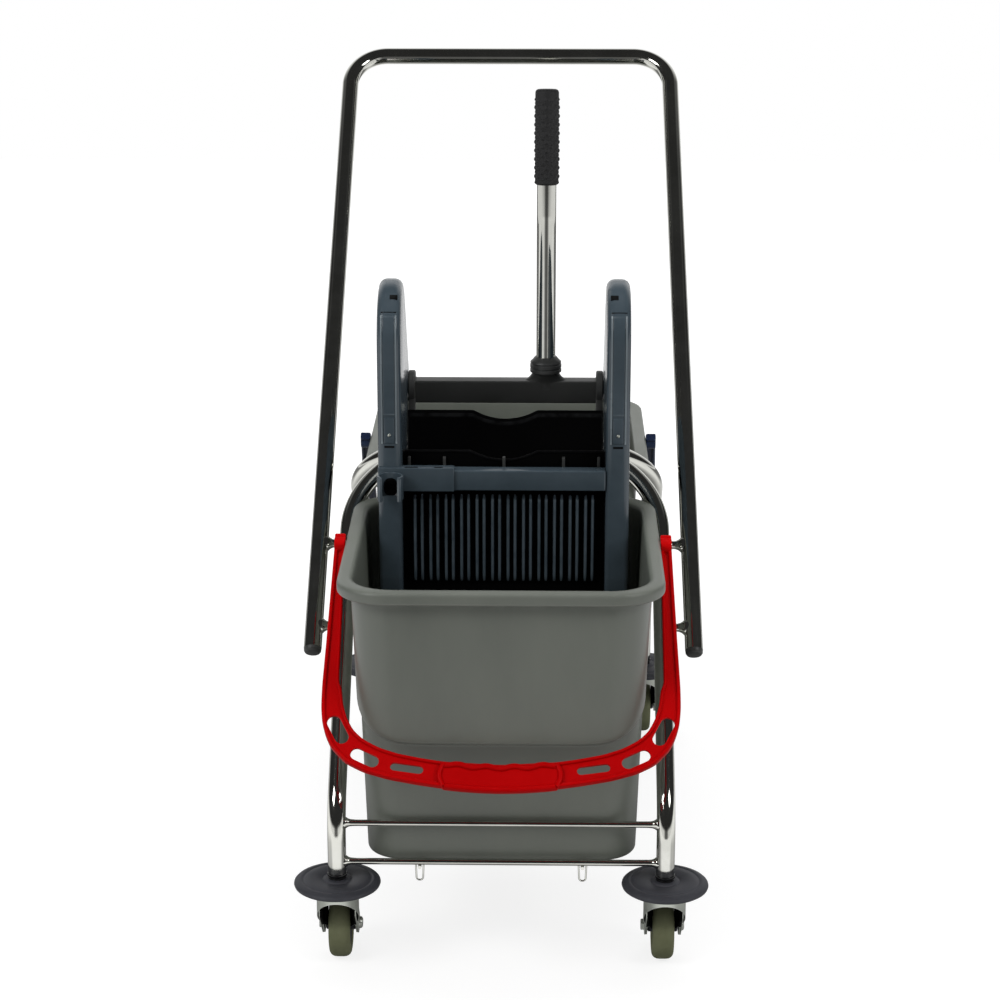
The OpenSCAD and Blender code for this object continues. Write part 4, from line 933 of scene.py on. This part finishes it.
# The socket's rings: half its length, half its depth, and the height.
TEE = np.array([(26, 11.2, 574), (26, 11.2, 583), (22, 11.8, 585), (18.6, 12.8, 587.4), (16.6, 13.8, 590),
                (15.4, 14.6, 592), (15, 15, 593.4)])
COLLAR_RIDGES = [(0, 593.2), (17, 593.2), (18, 594), (18, 597), (17.2, 597.6), (17.2, 598.6), (18, 599.2),
                 (18, 602.4), (17.2, 603), (17.2, 604), (17.8, 604.6), (17.6, 605.6), (15, 608), (12.6, 611),
                 (12, 611.2), (0, 611.2)]

shaft = [block((-SHAFT_X, -14, 558), (SHAFT_X, 8, 584), 2.4)]
for s in (-1, 1):
    shaft.append(lathe(FLANGE, (s * FLANGE_X, SHAFT_Y, SHAFT_Z), ACROSS, 64))
    shaft.append(lathe(JOURNAL, (s * JOURNAL_X, SHAFT_Y, SHAFT_Z), (s, 0, 0), 40))
    shaft.append(slab(FINGER, s * FINGER_X - FINGER_HALF, s * FINGER_X + FINGER_HALF, 1.2, SIDE))
tee_x, tee_y, tee_z = TEE.T[..., None]
ring_x, ring_y = circle(56).T
shaft.append(skin(np.dstack([LEVER_X + tee_x * ring_x, SHAFT_Y + tee_y * ring_y, tee_z + 0 * ring_x])))
piece("lever_shaft_moulding", shaft, black_plastic, "lever", "lever_shaft")
collar = lathe(COLLAR_RIDGES, (LEVER_X, SHAFT_Y, 0), turns=64)
piece("lever_collar_turned", [collar], black_plastic, "lever", "lever_collar")
print("a shaft of", len(shaft), "surfaces, and a collar")

# %% Lever tube and grip
LEVER_FOOT, LEVER_KNEE, LEVER_R, LEVER_BEND = 577.0, 770.0, 11.0, 120.0
UPPER_LENGTH, LEVER_LEAN = 142.0, math.radians(5)
GRIP_R, GRIP_LENGTH, BUMP, BUMP_STEP = 13.3, 107.0, 1.2, 4.8

knee = np.array([LEVER_X, SHAFT_Y, LEVER_KNEE])
tip = knee + UPPER_LENGTH * np.array([0, math.sin(LEVER_LEAN), math.cos(LEVER_LEAN)])
lever_line = bent([(LEVER_X, SHAFT_Y, LEVER_FOOT), knee, tip], [LEVER_BEND], 24)
piece("lever_tube_bent", [tube(lever_line, LEVER_R, 48)], chrome, "lever", "lever_tube")


def bumped(turns=144, stations=280):
    """The grip about the lever's upper end: r + 1.2 (cos 8t cos bs)^0.7 where that is positive, with
    rounded ends and a low ring exp(-((s - 2.6) / 1.6)^2) at its foot."""
    s = np.linspace(0, GRIP_LENGTH, stations)[:, None]
    t = np.linspace(0, 2 * np.pi, turns, endpoint=False)
    wave = np.clip(np.cos(8 * t) * np.cos(np.pi * (s - 10) / BUMP_STEP), 0, 1) ** 0.7
    bumps = wave * smooth((s - 5) / 3) * smooth((GRIP_LENGTH - 9 - s) / 3)
    from_end = np.minimum(s, GRIP_LENGTH - s)
    round_end = np.sqrt(np.clip(1 - np.clip(1 - from_end / 4, 0, 1) ** 2, 0.02, 1))
    r = GRIP_R * (0.72 + 0.28 * round_end) + BUMP * bumps + 0.9 * np.exp(-((s - 2.6) / 1.6) ** 2)
    along = unit(tip - knee)
    side, over = np.array([1.0, 0, 0]), np.cross(along, (1, 0, 0))
    spokes = np.cos(t)[:, None] * side + np.sin(t)[:, None] * over
    return skin(tip + along * (4 - GRIP_LENGTH) + s[..., None] * along + r[..., None] * spokes)


piece("lever_grip_bumped", [bumped()], grip_rubber, "lever", "lever_grip", sharp=60)

# %% [markdown]
# ## Light and camera
# The trolley stands on a white floor before a white backdrop, with the dark room on the camera's side.
# Chrome shows that room: bright below, where it mirrors the floor, and dark above with thin bright
# lines from the lamps. So mirrored rays see white behind and below, and dark above and to the sides.
# White and black cards round the trolley could do this too, but the Light Path node needs no objects.

# %% Floor
FLOOR_LEVEL, FLOOR_PLAN = -0.0006, ((-4, -0.95), (4, -0.95), (4, 5), (-4, 5))
floor_mesh = bpy.data.meshes.new("studio_floor")
floor_mesh.from_pydata([(x, y, FLOOR_LEVEL) for x, y in FLOOR_PLAN], [], [(0, 1, 2, 3)])
floor = added("studio_floor", floor_mesh)

paper = bpy.data.materials.new("white_paper")
tree = emptied(paper)
ray = node(tree, "LightPath")
place = node(tree, "SeparateXYZ", {0: node(tree, "TexCoord")["Object"]})
from_x = combined(tree, "ABSOLUTE", place[0])
# In the chrome the floor is a painted reflection that glows: bright round the trolley, fading out behind it
# on both sides, and dark under the trolley as a painted shadow.
aside = combined(tree, "MAXIMUM", between(tree, from_x, 0.5, 1.2, 0.9, 0.03),
                 between(tree, place[1], 0.4, 0.9, 0.9, 0.0))
ends = combined(tree, "MAXIMUM", between(tree, place[1], -0.42, -0.54), between(tree, place[1], 0.8, 1.3))
outside_painted_shadow = combined(tree, "MAXIMUM", between(tree, from_x, 0.35, 0.75), ends)
# Inside the trolley's footprint the glow falls to 0.12 of itself: a painted shadow in the reflections.
mirrored = combined(tree, "MULTIPLY", aside, between(tree, outside_painted_shadow, 0, 1, 0.12, 1.0))
# The camera sees it glow evenly into the backdrop, and any other ray meets plain matt paper.
straight = between(tree, place[1], 0.5, 1.5, 0.8, 1.0)
bright = node(tree, "Mix", {0: ray["Is Camera Ray"], 2: mirrored, 3: straight})[0]
glow = node(tree, "Emission", {"Color": (1, 1, 1, 1), "Strength": bright})[0]
shadowed = node(tree, "BsdfDiffuse", {"Color": (0.3, 0.3, 0.3, 1)})[0]
seen = node(tree, "AddShader", {0: glow, 1: shadowed})[0]
matt = node(tree, "BsdfDiffuse", {"Color": (0.55, 0.55, 0.55, 1)})[0]
watched = combined(tree, "MAXIMUM", ray["Is Camera Ray"], ray["Is Glossy Ray"])
shown = node(tree, "MixShader", {0: watched, 1: matt, 2: seen})[0]
node(tree, "OutputMaterial", {"Surface": shown})
floor_mesh.materials.append(paper)
print("a floor of paper with", len(tree.nodes), "shader nodes")

# %% Lamps
def placed(place, *axes):
    """The matrix of an object at a place, its own x, y and z lying along three axes."""
    return Matrix.Translation(place) @ Matrix(axes).transposed().to_4x4()


def lamp(name, place, aim, size, power):
    """A square soft lamp turned to face a point."""
    light = bpy.data.lights.new(name, "AREA")
    light.size, light.energy = size, power
    made = added(name, light)
    back = unit(np.subtract(place, aim))
    side = unit(np.cross((0, 0, 1.0), back) + (1e-6, 0, 0))
    made.matrix_world = placed(place, side, np.cross(back, side), back)
    return made


lamp("left_softbox", (-1.9, -1.9, 2.3), (0, -0.2, 0.45), 1.2, 30)
lamp("right_softbox", (2.1, -1.7, 2.1), (0, -0.2, 0.45), 1.0, 19)
lamp("top_softbox", (0.1, 0.1, 3.0), (0, 0, 0.4), 1.6, 26).visible_glossy = False
print(len(bpy.data.lights), "lamps")

# %% Backdrop
def sky(strength):
    """White light from all round, as strong as a number or a socket says."""
    return node(tree, "Background", {"Color": (1, 1, 1, 1), "Strength": strength})[0]


world = bpy.data.worlds.new("white_studio")
bpy.context.scene.world = world
tree = emptied(world)
path = node(tree, "LightPath")
way = node(tree, "SeparateXYZ", {0: node(tree, "TexCoord")["Generated"]})
sideways = combined(tree, "ABSOLUTE", way[0])
level = combined(tree, "MULTIPLY", between(tree, way[2], 0.8, 0.5),
                 between(tree, sideways, 0.5, 0.8, 1.0, 0.0))
backdrop = combined(tree, "MULTIPLY", between(tree, way[1], 0.05, 0.4), level)
floor_seen = combined(tree, "MULTIPLY", between(tree, way[2], 0.03, -0.05),
                      between(tree, sideways, 0.2, 0.5, 0.12, 1.0))
room = sky(between(tree, combined(tree, "MAXIMUM", backdrop, floor_seen), 0, 1, 0.03, 0.95))
bounced = combined(tree, "MAXIMUM", path["Is Glossy Ray"], path["Is Transmission Ray"])
lit = node(tree, "MixShader", {0: bounced, 1: sky(0.5), 2: room})[0]
whole = node(tree, "MixShader", {0: path["Is Camera Ray"], 1: lit, 2: sky(1.0)})[0]
node(tree, "OutputWorld", {"Surface": whole})
print("a white backdrop of", len(tree.nodes), "nodes")

# %% Camera
CAMERA_AT, LENS, SENSOR = (0.041, -2.875, 1.3165), 92.52, 36
PITCH_DOWN, YAW = math.radians(17), math.radians(0.95)
right = np.array([math.cos(YAW), math.sin(YAW), 0])
onward = np.array([-math.sin(YAW), math.cos(YAW), 0])
ahead = onward * math.cos(PITCH_DOWN) - np.array([0, 0, math.sin(PITCH_DOWN)])
camera = added("camera", bpy.data.cameras.new("camera"))
camera.data.lens, camera.data.sensor_width = LENS, SENSOR
camera.matrix_world = placed(CAMERA_AT, right, np.cross(right, ahead), -ahead)
bpy.context.scene.camera = camera
bpy.context.scene.view_settings.view_transform = "Standard"
